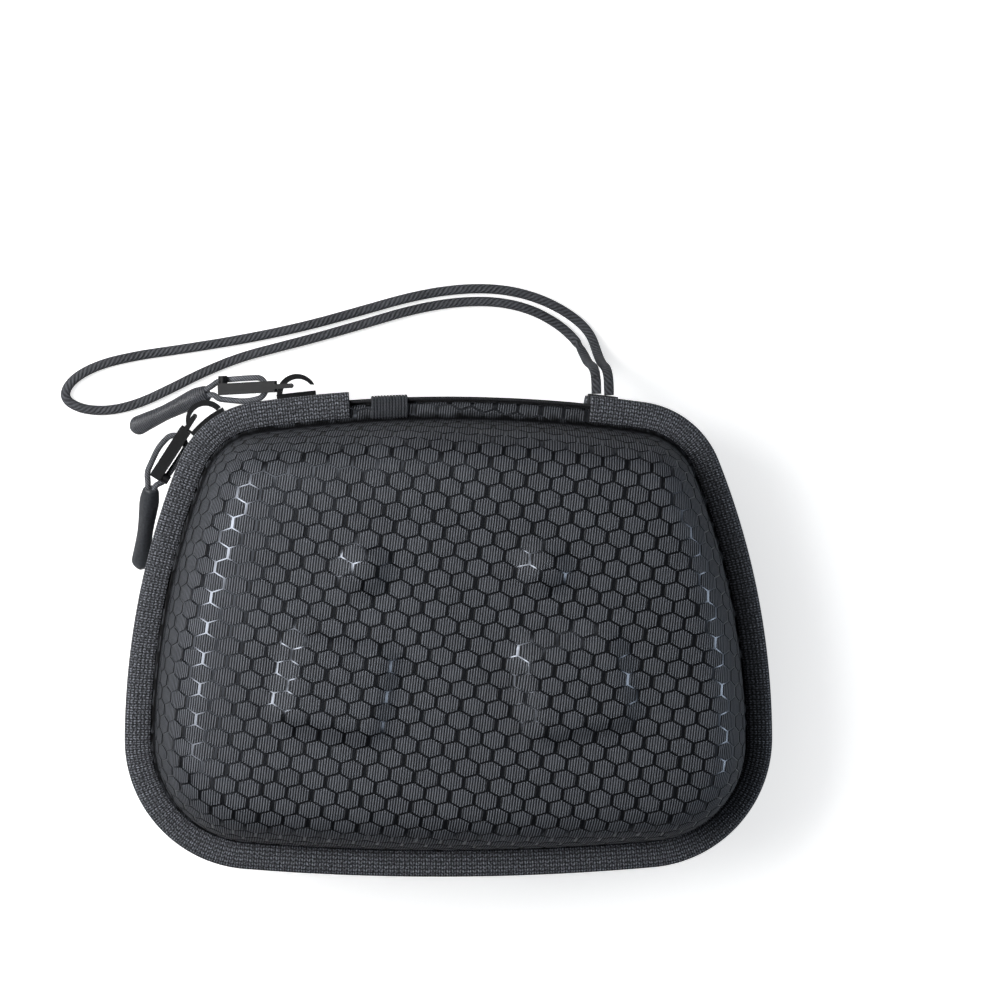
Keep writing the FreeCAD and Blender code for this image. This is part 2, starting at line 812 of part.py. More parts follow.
def strap_points():
    """Route of the strap's middle line: down to the floor and round the loop."""
    mid = anchor_start + 0.5 * anchor_width
    c, r = ARCS["top"][:2]
    exit_z = parting - flange_gap + binding_thick + 0.5 * anchor_thick
    gap = 1.85
    lie = 0.5 * strap_diameter + 0.15

    def drop(x, out, z):
        return V(x, c[1] + math.sqrt((r + anchor_out) ** 2 - x * x) + out, z)

    right = mid + gap
    left = mid - gap
    return [
        drop(right, 0.25, exit_z),
        drop(right, 5.4, exit_z - 0.4),
        drop(right + 0.1, 8.6, exit_z - 8.5),
        drop(right + 0.2, 9.6, exit_z - 18.5),
        drop(right + 0.2, 12.2, lie + 4.4),
        V(45.6, 87.6, lie),
        V(38.6, 93.6, lie),
        V(28.6, 98.4, lie),
        V(17.0, 100.8, lie),
        V(3.9, 100.5, lie),
        V(-9.5, 98.1, lie),
        V(-23.5, 94.1, lie),
        V(-38.1, 90.0, lie),
        V(-52.1, 86.8, lie),
        V(-66.1, 84.2, lie),
        V(-80.1, 82.0, lie),
        V(-93.4, 80.1, lie),
        V(-104.7, 77.3, lie),
        V(-112.6, 72.7, lie),
        V(-114.9, 67.3, lie),
        V(-109.4, 63.9, lie),
        V(-100.7, 63.4, lie),
        V(-91.6, 65.7, lie),
        V(-81.9, 70.3, lie),
        V(-72.1, 75.3, lie),
        V(-61.2, 79.7, lie),
        V(-49.9, 82.7, lie),
        V(-37.0, 86.0, lie),
        V(-22.5, 90.2, lie),
        V(-8.6, 94.3, lie),
        V(4.3, 96.6, lie),
        V(16.6, 96.9, lie),
        V(27.2, 94.6, lie),
        V(36.0, 89.9, lie),
        V(41.6, 84.6, lie + 0.4),
        drop(left - 0.2, 11.4, lie + 5.4),
        drop(left - 0.1, 9.2, exit_z - 18.5),
        drop(left, 8.4, exit_z - 8.5),
        drop(left, 5.4, exit_z - 0.4),
        drop(left, 0.25, exit_z),
    ]


def build():
    """All nodes of the case."""
    around = sectors(hinge_left, zip_right_end)
    bound = sectors(hinge_left, hinge_right)
    nodes = {}
    nodes["back_shell"] = half_shell(-1)
    nodes["front_shell"] = front_shell()
    nodes["back_binding"] = band(binding_section(), bound, -1)
    nodes["front_binding"] = band(binding_section(), bound, 1)
    nodes["back_zipper_tape"] = band(tape_section(), around, -1)
    nodes["front_zipper_tape"] = band(tape_section(), around, 1)
    nodes["back_zipper_coil"] = band(coil_section(), around, -1)
    nodes["front_zipper_coil"] = band(coil_section(), around, 1)
    nodes["hinge_fold"] = hinge_fold()
    nodes["hinge_whipping"] = hinge_whipping()
    nodes["strap_anchor"] = strap_anchor()
    c, r = ARCS["top_left"][:2]
    nodes["left_slider"] = slider(c, r, left_slider_turn, 1)
    tab_l, cord_l, grip_l, pin_l = pull(
        c, r, left_slider_turn, 1, 2.3, 2.4, left_pull_turn, left_pull_droop, left_grip_turn, left_grip_droop, 1
    )
    nodes["left_pull_tab"] = tab_l
    nodes["left_pull_cord"] = cord_l
    nodes["left_pull_grip"] = grip_l
    c, r = ARCS["top"][:2]
    turn = top_turn(top_slider_x)
    nodes["top_slider"] = slider(c, r, turn, -1)
    tab_t, cord_t, grip_t, pin_t = pull(
        c, r, turn, -1, -1.6, 2.1, top_pull_turn, top_pull_droop, top_grip_turn, top_grip_droop, -1
    )
    nodes["top_pull_tab"] = tab_t
    nodes["top_pull_cord"] = cord_t
    nodes["top_pull_grip"] = grip_t
    nodes["wrist_strap"] = tube(strap_points(), 0.5 * strap_diameter)
    print("hinge", hinge_left, hinge_right, "top slider", top_slider_x, "parting", parting, "corner centre", ARCS["top_left"][:2], "pins", pin_l, pin_t, "turn", turn)
    return nodes


def main():
    os.makedirs("parts", exist_ok=True)
    for name, shape in build().items():
        if shape.ShapeType == "Compound" and len(shape.Solids) == 1:
            shape = shape.Solids[0]
        print(name, shape.isValid(), len(shape.Solids), len(shape.Faces), round(shape.Volume, 1))
        shape.exportStep("parts/" + name + ".step")


main()
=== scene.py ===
"""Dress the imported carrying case: embossed fabric, knit binding, zipper, pulls and strap."""

from __future__ import annotations

import logging
import math
from dataclasses import dataclass, field
from enum import Enum
from typing import Sequence

import bpy
import numpy as np
from mathutils import Matrix, Vector

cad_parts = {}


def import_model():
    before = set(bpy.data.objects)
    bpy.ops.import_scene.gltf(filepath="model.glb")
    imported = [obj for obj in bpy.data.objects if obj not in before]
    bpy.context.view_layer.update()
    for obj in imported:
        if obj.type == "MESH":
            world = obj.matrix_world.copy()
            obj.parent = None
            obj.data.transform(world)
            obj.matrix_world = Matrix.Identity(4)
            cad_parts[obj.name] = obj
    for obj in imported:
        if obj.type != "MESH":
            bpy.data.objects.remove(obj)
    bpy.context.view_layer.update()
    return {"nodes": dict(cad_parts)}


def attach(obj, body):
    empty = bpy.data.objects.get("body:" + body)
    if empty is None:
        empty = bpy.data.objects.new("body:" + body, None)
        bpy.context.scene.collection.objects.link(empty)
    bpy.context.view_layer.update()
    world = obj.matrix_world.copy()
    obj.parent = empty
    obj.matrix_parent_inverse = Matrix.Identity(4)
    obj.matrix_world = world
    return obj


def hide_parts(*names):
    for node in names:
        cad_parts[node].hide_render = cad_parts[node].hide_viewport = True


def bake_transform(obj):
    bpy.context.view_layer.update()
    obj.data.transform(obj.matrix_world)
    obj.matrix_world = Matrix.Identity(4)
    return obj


log = logging.getLogger("case")

MM = 0.001
# Place of the top arc among the rim's arcs
TOP = 2
# Corners and edge middles of a cell's ring
CELL_POINTS = 12
# How far the zipper runs on past the hinge, under the strap's anchor
STRIP_END = 8.8
UP = np.array([0.0, 0.0, 1.0])
Colour = tuple[float, float, float, float]
Triple = tuple[float, float, float]


def paint(red: float, green: float, blue: float) -> Colour:
    """Turn an 8-bit sRGB colour into a linear one.

    Args:
        red: red from 0 to 255.
        green: green from 0 to 255.
        blue: blue from 0 to 255.

    Returns:
        Linear red, green, blue and an alpha of one.
    """
    shares = np.array([red, green, blue]) / 255.0
    linear = np.where(shares <= 0.04045, shares / 12.92, ((shares + 0.055) / 1.055) ** 2.4)
    return (float(linear[0]), float(linear[1]), float(linear[2]), 1.0)


class Side(Enum):
    """Half of the case, with its direction away from the parting."""

    BACK = -1
    FRONT = 1


class Body(Enum):
    """Moving bodies that the pieces ride on."""

    BACK_HALF = "back_half"
    FRONT_HALF = "front_half"
    LEFT_SLIDER = "left_slider"
    LEFT_PULL = "left_pull"
    TOP_SLIDER = "top_slider"
    TOP_PULL = "top_pull"


@dataclass(frozen=True)
class Arc:
    """One tangent arc of the rim, seen from the front, turns in radians."""

    x: float
    y: float
    radius: float
    start: float
    end: float


@dataclass
class Stations:
    """Places along the rim: each one's arc centre, radius, direction and path length."""

    x: np.ndarray
    y: np.ndarray
    radius: np.ndarray
    turn: np.ndarray
    along: np.ndarray


@dataclass
class Rim:
    """Outline of the case in millimetres: big arcs joined by corner arcs, which lie round the plateau's corners."""

    plateau_inset: float
    half_width: float = 93.4
    side_radius: float = 220.0
    widest_y: float = -32.0
    top_y: float = 70.3
    top_radius: float = 400.0
    bottom_y: float = -70.5
    bottom_radius: float = 700.0
    top_corner_flat: float = 1.9
    bottom_corner_flat: float = 12.4
    hinge_left_gap: float = 27.5
    hinge_right_gap: float = 15.5
    arcs: list[Arc] = field(default_factory=list)
    hinge_left: float = 0.0
    hinge_right: float = 0.0

    def __post_init__(self) -> None:
        """Work out where the arcs meet, and the hinge's ends from the top arc's ends."""
        top_corner = self.plateau_inset + self.top_corner_flat
        bottom_corner = self.plateau_inset + self.bottom_corner_flat
        right = (self.half_width - self.side_radius, self.widest_y)
        top = (0.0, self.top_y - self.top_radius)
        bottom = (0.0, self.bottom_y + self.bottom_radius)
        up = self.crossing(right, self.side_radius, top, self.top_radius, top_corner, 1.0)
        low = self.crossing(right, self.side_radius, bottom, self.bottom_radius, bottom_corner, -1.0)
        low_turn = math.atan2(low[1] - right[1], low[0] - right[0])
        high_turn = math.atan2(up[1] - right[1], up[0] - right[0])
        top_turn = math.atan2(up[1] - top[1], up[0] - top[0])
        floor_turn = math.atan2(low[1] - bottom[1], low[0] - bottom[0])
        half = math.pi
        self.arcs = [
            Arc(*right, self.side_radius, low_turn, high_turn),
            Arc(*up, top_corner, high_turn, top_turn),
            Arc(*top, self.top_radius, top_turn, half - top_turn),
            Arc(-up[0], up[1], top_corner, half - top_turn, half - high_turn),
            Arc(-right[0], right[1], self.side_radius, half - high_turn, half - low_turn),
            Arc(-low[0], low[1], bottom_corner, half - low_turn, half - floor_turn),
            Arc(*bottom, self.bottom_radius, -half - floor_turn, floor_turn),
            Arc(*low, bottom_corner, floor_turn, low_turn),
        ]
        top_end = self.top_radius * math.cos(top_turn)
        self.hinge_left = self.hinge_left_gap - top_end
        self.hinge_right = top_end - self.hinge_right_gap

    @staticmethod
    def crossing(
        c0: tuple[float, float], r0: float, c1: tuple[float, float], r1: float, corner: float, up: float
    ) -> tuple[float, float]:
        """Centre of a corner arc: the right-hand crossing of two circles moved in by its radius.

        Args:
            c0: centre of the side circle.
            r0: its radius.
            c1: centre of the top or bottom circle.
            r1: its radius.
            corner: radius of the corner arc.
            up: 1 for the upper crossing, -1 for the lower one.

        Returns:
            The corner arc's centre.
        """
        r0, r1 = r0 - corner, r1 - corner
        dx, dy = c1[0] - c0[0], c1[1] - c0[1]
        gap = math.hypot(dx, dy)
        a = (r0 * r0 - r1 * r1 + gap * gap) / (2.0 * gap)
        h = math.sqrt(r0 * r0 - a * a)
        px, py = c0[0] + a * dx / gap, c0[1] + a * dy / gap
        both = [(px - h * dy / gap, py + h * dx / gap), (px + h * dy / gap, py - h * dx / gap)]
        return max(both, key=lambda q: q[0] + up * q[1])

    def stations(self, step: float, first_x: float | None = None, last_x: float | None = None) -> Stations:
        """Places about a step apart, all round or from first_x on the top to last_x.

        Args:
            step: usual distance between places on the rim.
            first_x: where an open path starts on the top arc, going left.
            last_x: where it ends on the top arc, coming from the right.

        Returns:
            The places, anticlockwise.
        """
        top = self.arcs[TOP]
        order = self.arcs[TOP + 1 :] + self.arcs[:TOP]
        if first_x is None or last_x is None:
            order = [top] + order
        else:
            first = Arc(top.x, top.y, top.radius, math.acos(first_x / top.radius), top.end)
            last = Arc(top.x, top.y, top.radius, top.start, math.acos(last_x / top.radius))
            order = [first] + order + [last]
        rows: list[np.ndarray] = []
        for arc in order:
            count = max(2, int(math.ceil(arc.radius * (arc.end - arc.start) / step)))
            turn = np.linspace(arc.start, arc.end, count, endpoint=False)
            rows.append(np.stack([np.full(count, v) for v in (arc.x, arc.y, arc.radius)] + [turn]))
        if first_x is not None:
            end = order[-1]
            rows.append(np.array([[end.x], [end.y], [end.radius], [end.end]]))
        x, y, radius, turn = np.concatenate(rows, axis=1)
        px, py = x + radius * np.cos(turn), y + radius * np.sin(turn)
        hops = np.hypot(np.diff(px), np.diff(py))
        return Stations(x, y, radius, turn, np.concatenate([[0.0], np.cumsum(hops)]))

    def top_stations(self, first_x: float, last_x: float, count: int) -> Stations:
        """Places on the top arc from the larger x to the smaller one.

        Args:
            first_x: one end on the top arc.
            last_x: the other end.
            count: number of places.

        Returns:
            The places, anticlockwise.
        """
        top = self.arcs[TOP]
        first, last = (math.acos(x / top.radius) for x in (max(first_x, last_x), min(first_x, last_x)))
        turn = np.linspace(first, last, count)
        ones = np.ones(count)
        along = top.radius * (turn - turn[0])
        return Stations(top.x * ones, top.y * ones, top.radius * ones, turn, along)

    def nearest(self, flat: np.ndarray, inset: float) -> tuple[np.ndarray, np.ndarray, np.ndarray]:
        """Foot of each point on the outline moved in by inset.

        Args:
            flat: points as an (n, 2) array.
            inset: how far the outline is moved in.

        Returns:
            Feet, outward directions, and signed distances, positive outside.
        """
        best = np.full(len(flat), np.inf)
        foot = np.zeros_like(flat)
        out = np.zeros_like(flat)
        away = np.zeros(len(flat))
        for arc in self.arcs:
            dx, dy = flat[:, 0] - arc.x, flat[:, 1] - arc.y
            middle = 0.5 * (arc.start + arc.end)
            turn = np.arctan2(dy, dx) - middle
            turn = (turn + np.pi) % (2.0 * np.pi) - np.pi
            reach = 0.5 * (arc.end - arc.start)
            turn = middle + np.clip(turn, -reach, reach)
            way = np.stack([np.cos(turn), np.sin(turn)], axis=1)
            spot = np.array([arc.x, arc.y]) + (arc.radius - inset) * way
            gap = np.hypot(*(flat - spot).T)
            nearer = gap < best
            best = np.where(nearer, gap, best)
            foot[nearer], out[nearer] = spot[nearer], way[nearer]
            away[nearer] = np.einsum("ij,ij->i", flat[nearer] - spot[nearer], way[nearer])
        return foot, out, away


@dataclass
class Wall:
    """Outer line of a half shell from the plateau's edge to the flange's edge.

    The plateau's inset and height add up from the foot: the straight wall, the shoulder's arc and the crown's.
    """

    foot_inset: float = 8.0
    foot_height: float = 8.5
    wall_height: float = 9.0
    crown_radius: float = 13.0
    soft: float = math.radians(55.0)
    shoulder_radius: float = 30.0
    steep: float = math.radians(82.0)
    rise: float = 7.95
    foot_radius: float = 1.3
    ledge: float = 2.1
    edge_radius: float = 1.3
    drop: float = 1.7
    samples: int = 3001
    length: np.ndarray = field(default_factory=lambda: np.zeros(0))
    inset: np.ndarray = field(default_factory=lambda: np.zeros(0))
    height: np.ndarray = field(default_factory=lambda: np.zeros(0))
    slope: np.ndarray = field(default_factory=lambda: np.zeros(0))

    def __post_init__(self) -> None:
        """Tabulate the line: its slope changes evenly along each piece, and is added up."""
        shoulder, crown = self.shoulder_radius, self.crown_radius
        run = shoulder * (math.sin(self.steep) - math.sin(self.soft)) + crown * math.sin(self.soft)
        climb = shoulder * (math.cos(self.soft) - math.cos(self.steep)) + crown * (1.0 - math.cos(self.soft))
        self.plateau_inset = self.foot_inset + self.wall_height / math.tan(self.steep) + run
        self.half_depth = self.foot_height + self.wall_height + climb
        self.parting = self.half_depth
        spans = [
            (self.crown_radius * self.soft, 0.0, self.soft),
            (self.shoulder_radius * (self.steep - self.soft), self.soft, self.steep),
            (self.rise, self.steep, self.steep),
            (self.foot_radius * self.steep, self.steep, 0.0),
            (self.ledge, 0.0, 0.0),
            (self.edge_radius * 0.5 * math.pi, 0.0, 0.5 * math.pi),
            (self.drop, 0.5 * math.pi, 0.5 * math.pi),
        ]
        corners = np.concatenate([[0.0], np.cumsum([s[0] for s in spans])])
        self.length = np.linspace(0.0, corners[-1], self.samples)
        knots = np.repeat(corners, 2)[1:-1]
        turns = np.array([s[k] for s in spans for k in (1, 2)])
        self.slope = np.interp(self.length, knots + np.tile([1e-6, -1e-6], len(spans)), turns)
        step = self.length[1]
        middle = 0.5 * (self.slope[1:] + self.slope[:-1])
        self.inset = self.plateau_inset - np.concatenate([[0.0], np.cumsum(np.cos(middle) * step)])
        self.height = self.half_depth - np.concatenate([[0.0], np.cumsum(np.sin(middle) * step)])
        self.foot_at = float(corners[3])

    def place(self, rim: Rim, flat: np.ndarray, lift: np.ndarray, side: Side, reach: float) -> np.ndarray:
        """Lay flat fabric over the half shell, keeping its length down the wall.

        Args:
            rim: the outline.
            flat: points on the flat fabric.
            lift: height of each point above the shell.
            side: which half.
            reach: how far down the wall the fabric goes.

        Returns:
            Points as an (n, 3) array.
        """
        foot, out, away = rim.nearest(flat, self.plateau_inset)
        down = np.clip(away, 0.0, reach)
        slope = np.interp(down, self.length, self.slope)
        run = self.plateau_inset - np.interp(down, self.length, self.inset)
        level = np.interp(down, self.length, self.height)
        outside = away > 0.0
        base = np.where(outside[:, None], foot + out * run[:, None], flat)
        spot = base + out * (np.sin(slope) * lift * outside)[:, None]
        rise = self.parting + side.value * (level + np.cos(slope) * lift)
        return np.column_stack([spot, rise])


def sweep(stations: Stations, section: np.ndarray, side: Side, wall: Wall) -> np.ndarray:
    """Carry a section of (inset, height) points along the rim.

    Args:
        stations: places along the rim.
        section: (m, 2) points, one section for all places.
        side: which half.
        wall: holds the parting's height.

    Returns:
        Points as an (n, m, 3) array.
    """
    reach = stations.radius[:, None] - section[None, :, 0]
    x = stations.x[:, None] + reach * np.cos(stations.turn)[:, None]
    y = stations.y[:, None] + reach * np.sin(stations.turn)[:, None]
    z = np.broadcast_to(wall.parting + side.value * section[None, :, 1], x.shape)
    return np.stack([x, y, z], axis=2)


def line_run(line: np.ndarray) -> np.ndarray:
    """Length along a line of points, from zero at its first point."""
    return np.concatenate([[0.0], np.cumsum(np.linalg.norm(np.diff(line, axis=0), axis=1))])


def grid_uv(along: np.ndarray, across: np.ndarray) -> np.ndarray:
    """Flat place of each grid point: its row's length and its column's."""
    return np.stack(np.broadcast_arrays(along[:, None], across[None, :]), axis=2).reshape(-1, 2)


def cap_fan(count: int) -> np.ndarray:
    """Triangles that close a ring of points from its first one."""
    return np.array([[0, k + 1, k] for k in range(1, count - 1)])


def superround(angle: np.ndarray, power: float) -> tuple[np.ndarray, np.ndarray]:
    """Rounded or squared circle: cosine and sine, each to a power with its sign kept."""
    c, s = np.cos(angle), np.sin(angle)
    return np.sign(c) * np.abs(c) ** power, np.sign(s) * np.abs(s) ** power


def grid_quads(
    rows: int, cols: int, wrap_rows: bool = False, wrap_cols: bool = False, flip: bool = False
) -> np.ndarray:
    """Quads between neighbouring rows and columns of a grid of points.

    Args:
        rows: number of rows.
        cols: number of columns.
        wrap_rows: whether the last row joins the first.
        wrap_cols: whether the last column joins the first.
        flip: whether the faces turn the other way.

    Returns:
        Corner numbers as an (n, 4) array.
    """
    i = np.arange(rows if wrap_rows else rows - 1)[:, None]
    j = np.arange(cols if wrap_cols else cols - 1)[None, :]
    i1, j1 = (i + 1) % rows, (j + 1) % cols
    quads = np.stack([i * cols + j, i * cols + j1, i1 * cols + j1, i1 * cols + j], axis=2).reshape(-1, 4)
    return quads[:, ::-1] if flip else quads


@dataclass
class Surface:
    """Points, faces and marks of one piece, in millimetres, gathered before it becomes a mesh."""

    name: str
    points: np.ndarray
    quads: np.ndarray
    tris: np.ndarray = field(default_factory=lambda: np.zeros((0, 3), dtype=int))
    uv: np.ndarray | None = None
    marks: dict[str, np.ndarray] = field(default_factory=dict)

    def build(
        self, finish: bpy.types.Material, body: Body | None, nodes: Sequence[str] = ()
    ) -> bpy.types.Object:
        """Make the mesh and let it ride.

        Args:
            finish: the piece's material.
            body: the body that it rides on, or none for a piece between two, which rides on neither.
            nodes: CAD nodes that it stands for.

        Returns:
            The new object.
        """
        mesh = bpy.data.meshes.new(self.name)
        loops = np.concatenate([self.quads.ravel(), self.tris.ravel()]).astype(np.int32)
        sizes = np.concatenate([np.full(len(self.quads), 4), np.full(len(self.tris), 3)])
        starts = np.concatenate([[0], np.cumsum(sizes)[:-1]]).astype(np.int32)
        mesh.vertices.add(len(self.points))
        mesh.vertices.foreach_set("co", (self.points * MM).astype(np.float32).ravel())
        mesh.loops.add(len(loops))
        mesh.loops.foreach_set("vertex_index", loops)
        mesh.polygons.add(len(sizes))
        mesh.polygons.foreach_set("loop_start", starts)
        mesh.polygons.foreach_set("use_smooth", np.ones(len(sizes), dtype=bool))
        if self.uv is not None:
            layer = mesh.uv_layers.new(name="UVMap")
            layer.data.foreach_set("uv", (self.uv[loops] * MM).astype(np.float32).ravel())
        for name, values in self.marks.items():
            mark = mesh.attributes.new(name, "FLOAT", "POINT")
            mark.data.foreach_set("value", values.astype(np.float32))
        mesh.update(calc_edges=True)
        mesh.validate()
        mesh.materials.append(finish)
        obj = bpy.data.objects.new(self.name, mesh)
        bpy.context.scene.collection.objects.link(obj)
        if body is not None:
            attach(obj, body.value)
        if nodes:
            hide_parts(*nodes)
        log.info("%s: %d points, %d faces", self.name, len(self.points), len(sizes))
        return obj


class Wiring:
    """Adds shader nodes to a tree and joins them."""

    def __init__(self, tree: bpy.types.NodeTree) -> None:
        """Keep the tree."""
        self.tree = tree

    def add(self, kind: str, **settings: object) -> bpy.types.Node:
        """New node with its settings.

        Args:
            kind: Blender's name of the node's type.
            settings: properties of the node and their values.

        Returns:
            The node.
        """
        node = self.tree.nodes.new(kind)
        for name, value in settings.items():
            setattr(node, name, value)
        return node

    def put(self, socket: bpy.types.NodeSocket, value: object) -> None:
        """Join a socket, or set its plain value.

        Args:
            socket: the input.
            value: another node's output, or a number, colour or vector.
        """
        if isinstance(value, bpy.types.NodeSocket):
            self.tree.links.new(value, socket)
        else:
            socket.default_value = value

    def sum(self, operation: str, *values: object, clamp: bool = False) -> bpy.types.NodeSocket:
        """Math node on sockets or numbers.

        Args:
            operation: what it does.
            values: its inputs.
            clamp: whether the result stays between 0 and 1.

        Returns:
            Its output.
        """
        node = self.add("ShaderNodeMath", operation=operation, use_clamp=clamp)
        for socket, value in zip(node.inputs, values):
            self.put(socket, value)
        return node.outputs[0]

    def between(self, share: object, first: object, second: object) -> bpy.types.NodeSocket:
        """Colour between two colours.

        Args:
            share: 0 for the first colour, 1 for the second.
            first: one colour.
            second: the other.

        Returns:
            The mixed colour's output.
        """
        node = self.add("ShaderNodeMix", data_type="RGBA")
        self.put(node.inputs[0], share)
        self.put(node.inputs[6], first)
        self.put(node.inputs[7], second)
        return node.outputs[2]

    def ramp(self, value: object, low: float, high: float, to_low: float, to_high: float) -> bpy.types.NodeSocket:
        """Value moved from one range to another, clamped.

        Args:
            value: the input.
            low: where the first range starts.
            high: where it ends.
            to_low: what low becomes.
            to_high: what high becomes.

        Returns:
            The new value's output.
        """
        node = self.add("ShaderNodeMapRange")
        for socket, number in zip(node.inputs, (value, low, high, to_low, to_high)):
            self.put(socket, number)
        return node.outputs[0]

    def noise(self, where: object, scale: float, detail: float = 2.0) -> bpy.types.NodeSocket:
        """Noise from about 0.3 to 0.7.

        Args:
            where: coordinates.
            scale: how fine it is, in cells a metre.
            detail: how many finer layers are added.

        Returns:
            The noise's output.
        """
        node = self.add("ShaderNodeTexNoise")
        self.put(node.inputs["Vector"], where)
        node.inputs["Scale"].default_value = scale
        node.inputs["Detail"].default_value = detail
        return node.outputs["Fac"]


def new_group(name: str, inputs: Sequence[tuple[str, str, float]], outputs: Sequence[str]) -> bpy.types.NodeTree:
    """Empty shader group with its sockets.

    Args:
        name: the group's name.
        inputs: each input's name, kind and plain value.
        outputs: names of the float outputs.

    Returns:
        The group.
    """
    tree = bpy.data.node_groups.new(name, "ShaderNodeTree")
    for label, kind, value in inputs:
        socket = tree.interface.new_socket(name=label, in_out="INPUT", socket_type=kind)
        if kind == "NodeSocketFloat":
            socket.default_value = value
    for label in outputs:
        tree.interface.new_socket(name=label, in_out="OUTPUT", socket_type="NodeSocketFloat")
    return tree


class Weaves:
    """Shader groups of the woven, knitted and ribbed surfaces, each built once."""

    def __init__(self) -> None:
        """Build all groups."""
        self.ribs = self.build_ribs()
        self.knit = self.build_knit()
        self.grain = self.build_grain()

    @staticmethod
    def build_ribs() -> bpy.types.NodeTree:
        """Fine parallel thread ribs: a sine across the first coordinate, leaning with the second."""
        tree = new_group(
            "thread_ribs",
            [
                ("Place", "NodeSocketVector", 0.0),
                ("Pitch", "NodeSocketFloat", 0.00063),
                ("Lean", "NodeSocketFloat", 0.0),
            ],
            ["Height"],
        )
        w = Wiring(tree)
        inside = w.add("NodeGroupInput")
        parts = w.add("ShaderNodeSeparateXYZ")
        w.put(parts.inputs[0], inside.outputs["Place"])
        skew = w.sum("MULTIPLY", parts.outputs[1], inside.outputs["Lean"])
        across = w.sum("ADD", parts.outputs[0], skew)
        phase = w.sum("MULTIPLY", w.sum("DIVIDE", across, inside.outputs["Pitch"]), 2.0 * math.pi)
        wave = w.sum("MULTIPLY_ADD", w.sum("SINE", phase), 0.5, 0.5)
        w.put(w.add("NodeGroupOutput").inputs["Height"], wave)
        return tree

    @staticmethod
    def build_knit() -> bpy.types.NodeTree:
        """Knit stitches: rows of leaning loops whose lean turns over from one column to the next."""
        tree = new_group(
            "knit_stitches",
            [
                ("Place", "NodeSocketVector", 0.0),
                ("Column", "NodeSocketFloat", 0.0014),
                ("Row", "NodeSocketFloat", 0.0011),
                ("Lean", "NodeSocketFloat", 0.9),
            ],
            ["Height", "Fleck"],
        )
        w = Wiring(tree)
        inside = w.add("NodeGroupInput")
        parts = w.add("ShaderNodeSeparateXYZ")
        w.put(parts.inputs[0], inside.outputs["Place"])
        column = w.sum("DIVIDE", parts.outputs[0], inside.outputs["Column"])
        row = w.sum("DIVIDE", parts.outputs[1], inside.outputs["Row"])
        saw = w.sum("ABSOLUTE", w.sum("SUBTRACT", w.sum("FRACT", column), 0.5))
        lean = w.sum("MULTIPLY_ADD", saw, inside.outputs["Lean"], row)
        loops = w.sum("ABSOLUTE", w.sum("SINE", w.sum("MULTIPLY", lean, math.pi)))
        gap = w.sum("MULTIPLY", w.sum("SUBTRACT", 0.5, saw), 4.0, clamp=True)
        valley = w.sum("MULTIPLY", saw, 6.0, clamp=True)
        height = w.sum("MULTIPLY", loops, w.sum("MULTIPLY", gap, valley))
        out = w.add("NodeGroupOutput")
        w.put(out.inputs["Height"], height)
        fleck = w.noise(inside.outputs["Place"], 1900.0, 1.0)
        w.put(out.inputs["Fleck"], w.ramp(fleck, 0.4, 0.62, 0.0, 1.0))
        return tree

    @staticmethod
    def build_grain() -> bpy.types.NodeTree:
        """Soft uneven tone over a surface, from two sizes of noise."""
        tree = new_group("cloth_grain", [("Place", "NodeSocketVector", 0.0)], ["Tone"])
        w = Wiring(tree)
        inside = w.add("NodeGroupInput")
        broad = w.noise(inside.outputs["Place"], 45.0, 3.0)
        fine = w.noise(inside.outputs["Place"], 1300.0, 1.0)
        both = w.sum("MULTIPLY_ADD", fine, 0.5, w.sum("MULTIPLY", broad, 0.5))
        w.put(w.add("NodeGroupOutput").inputs["Tone"], w.ramp(both, 0.36, 0.64, 0.0, 1.0))
        return tree


class Pattern(Enum):
    """What a finish draws on its surface."""

    PLAIN = "plain"
    CELLS = "cells"
    KNIT = "knit"
    RIBS = "ribs"


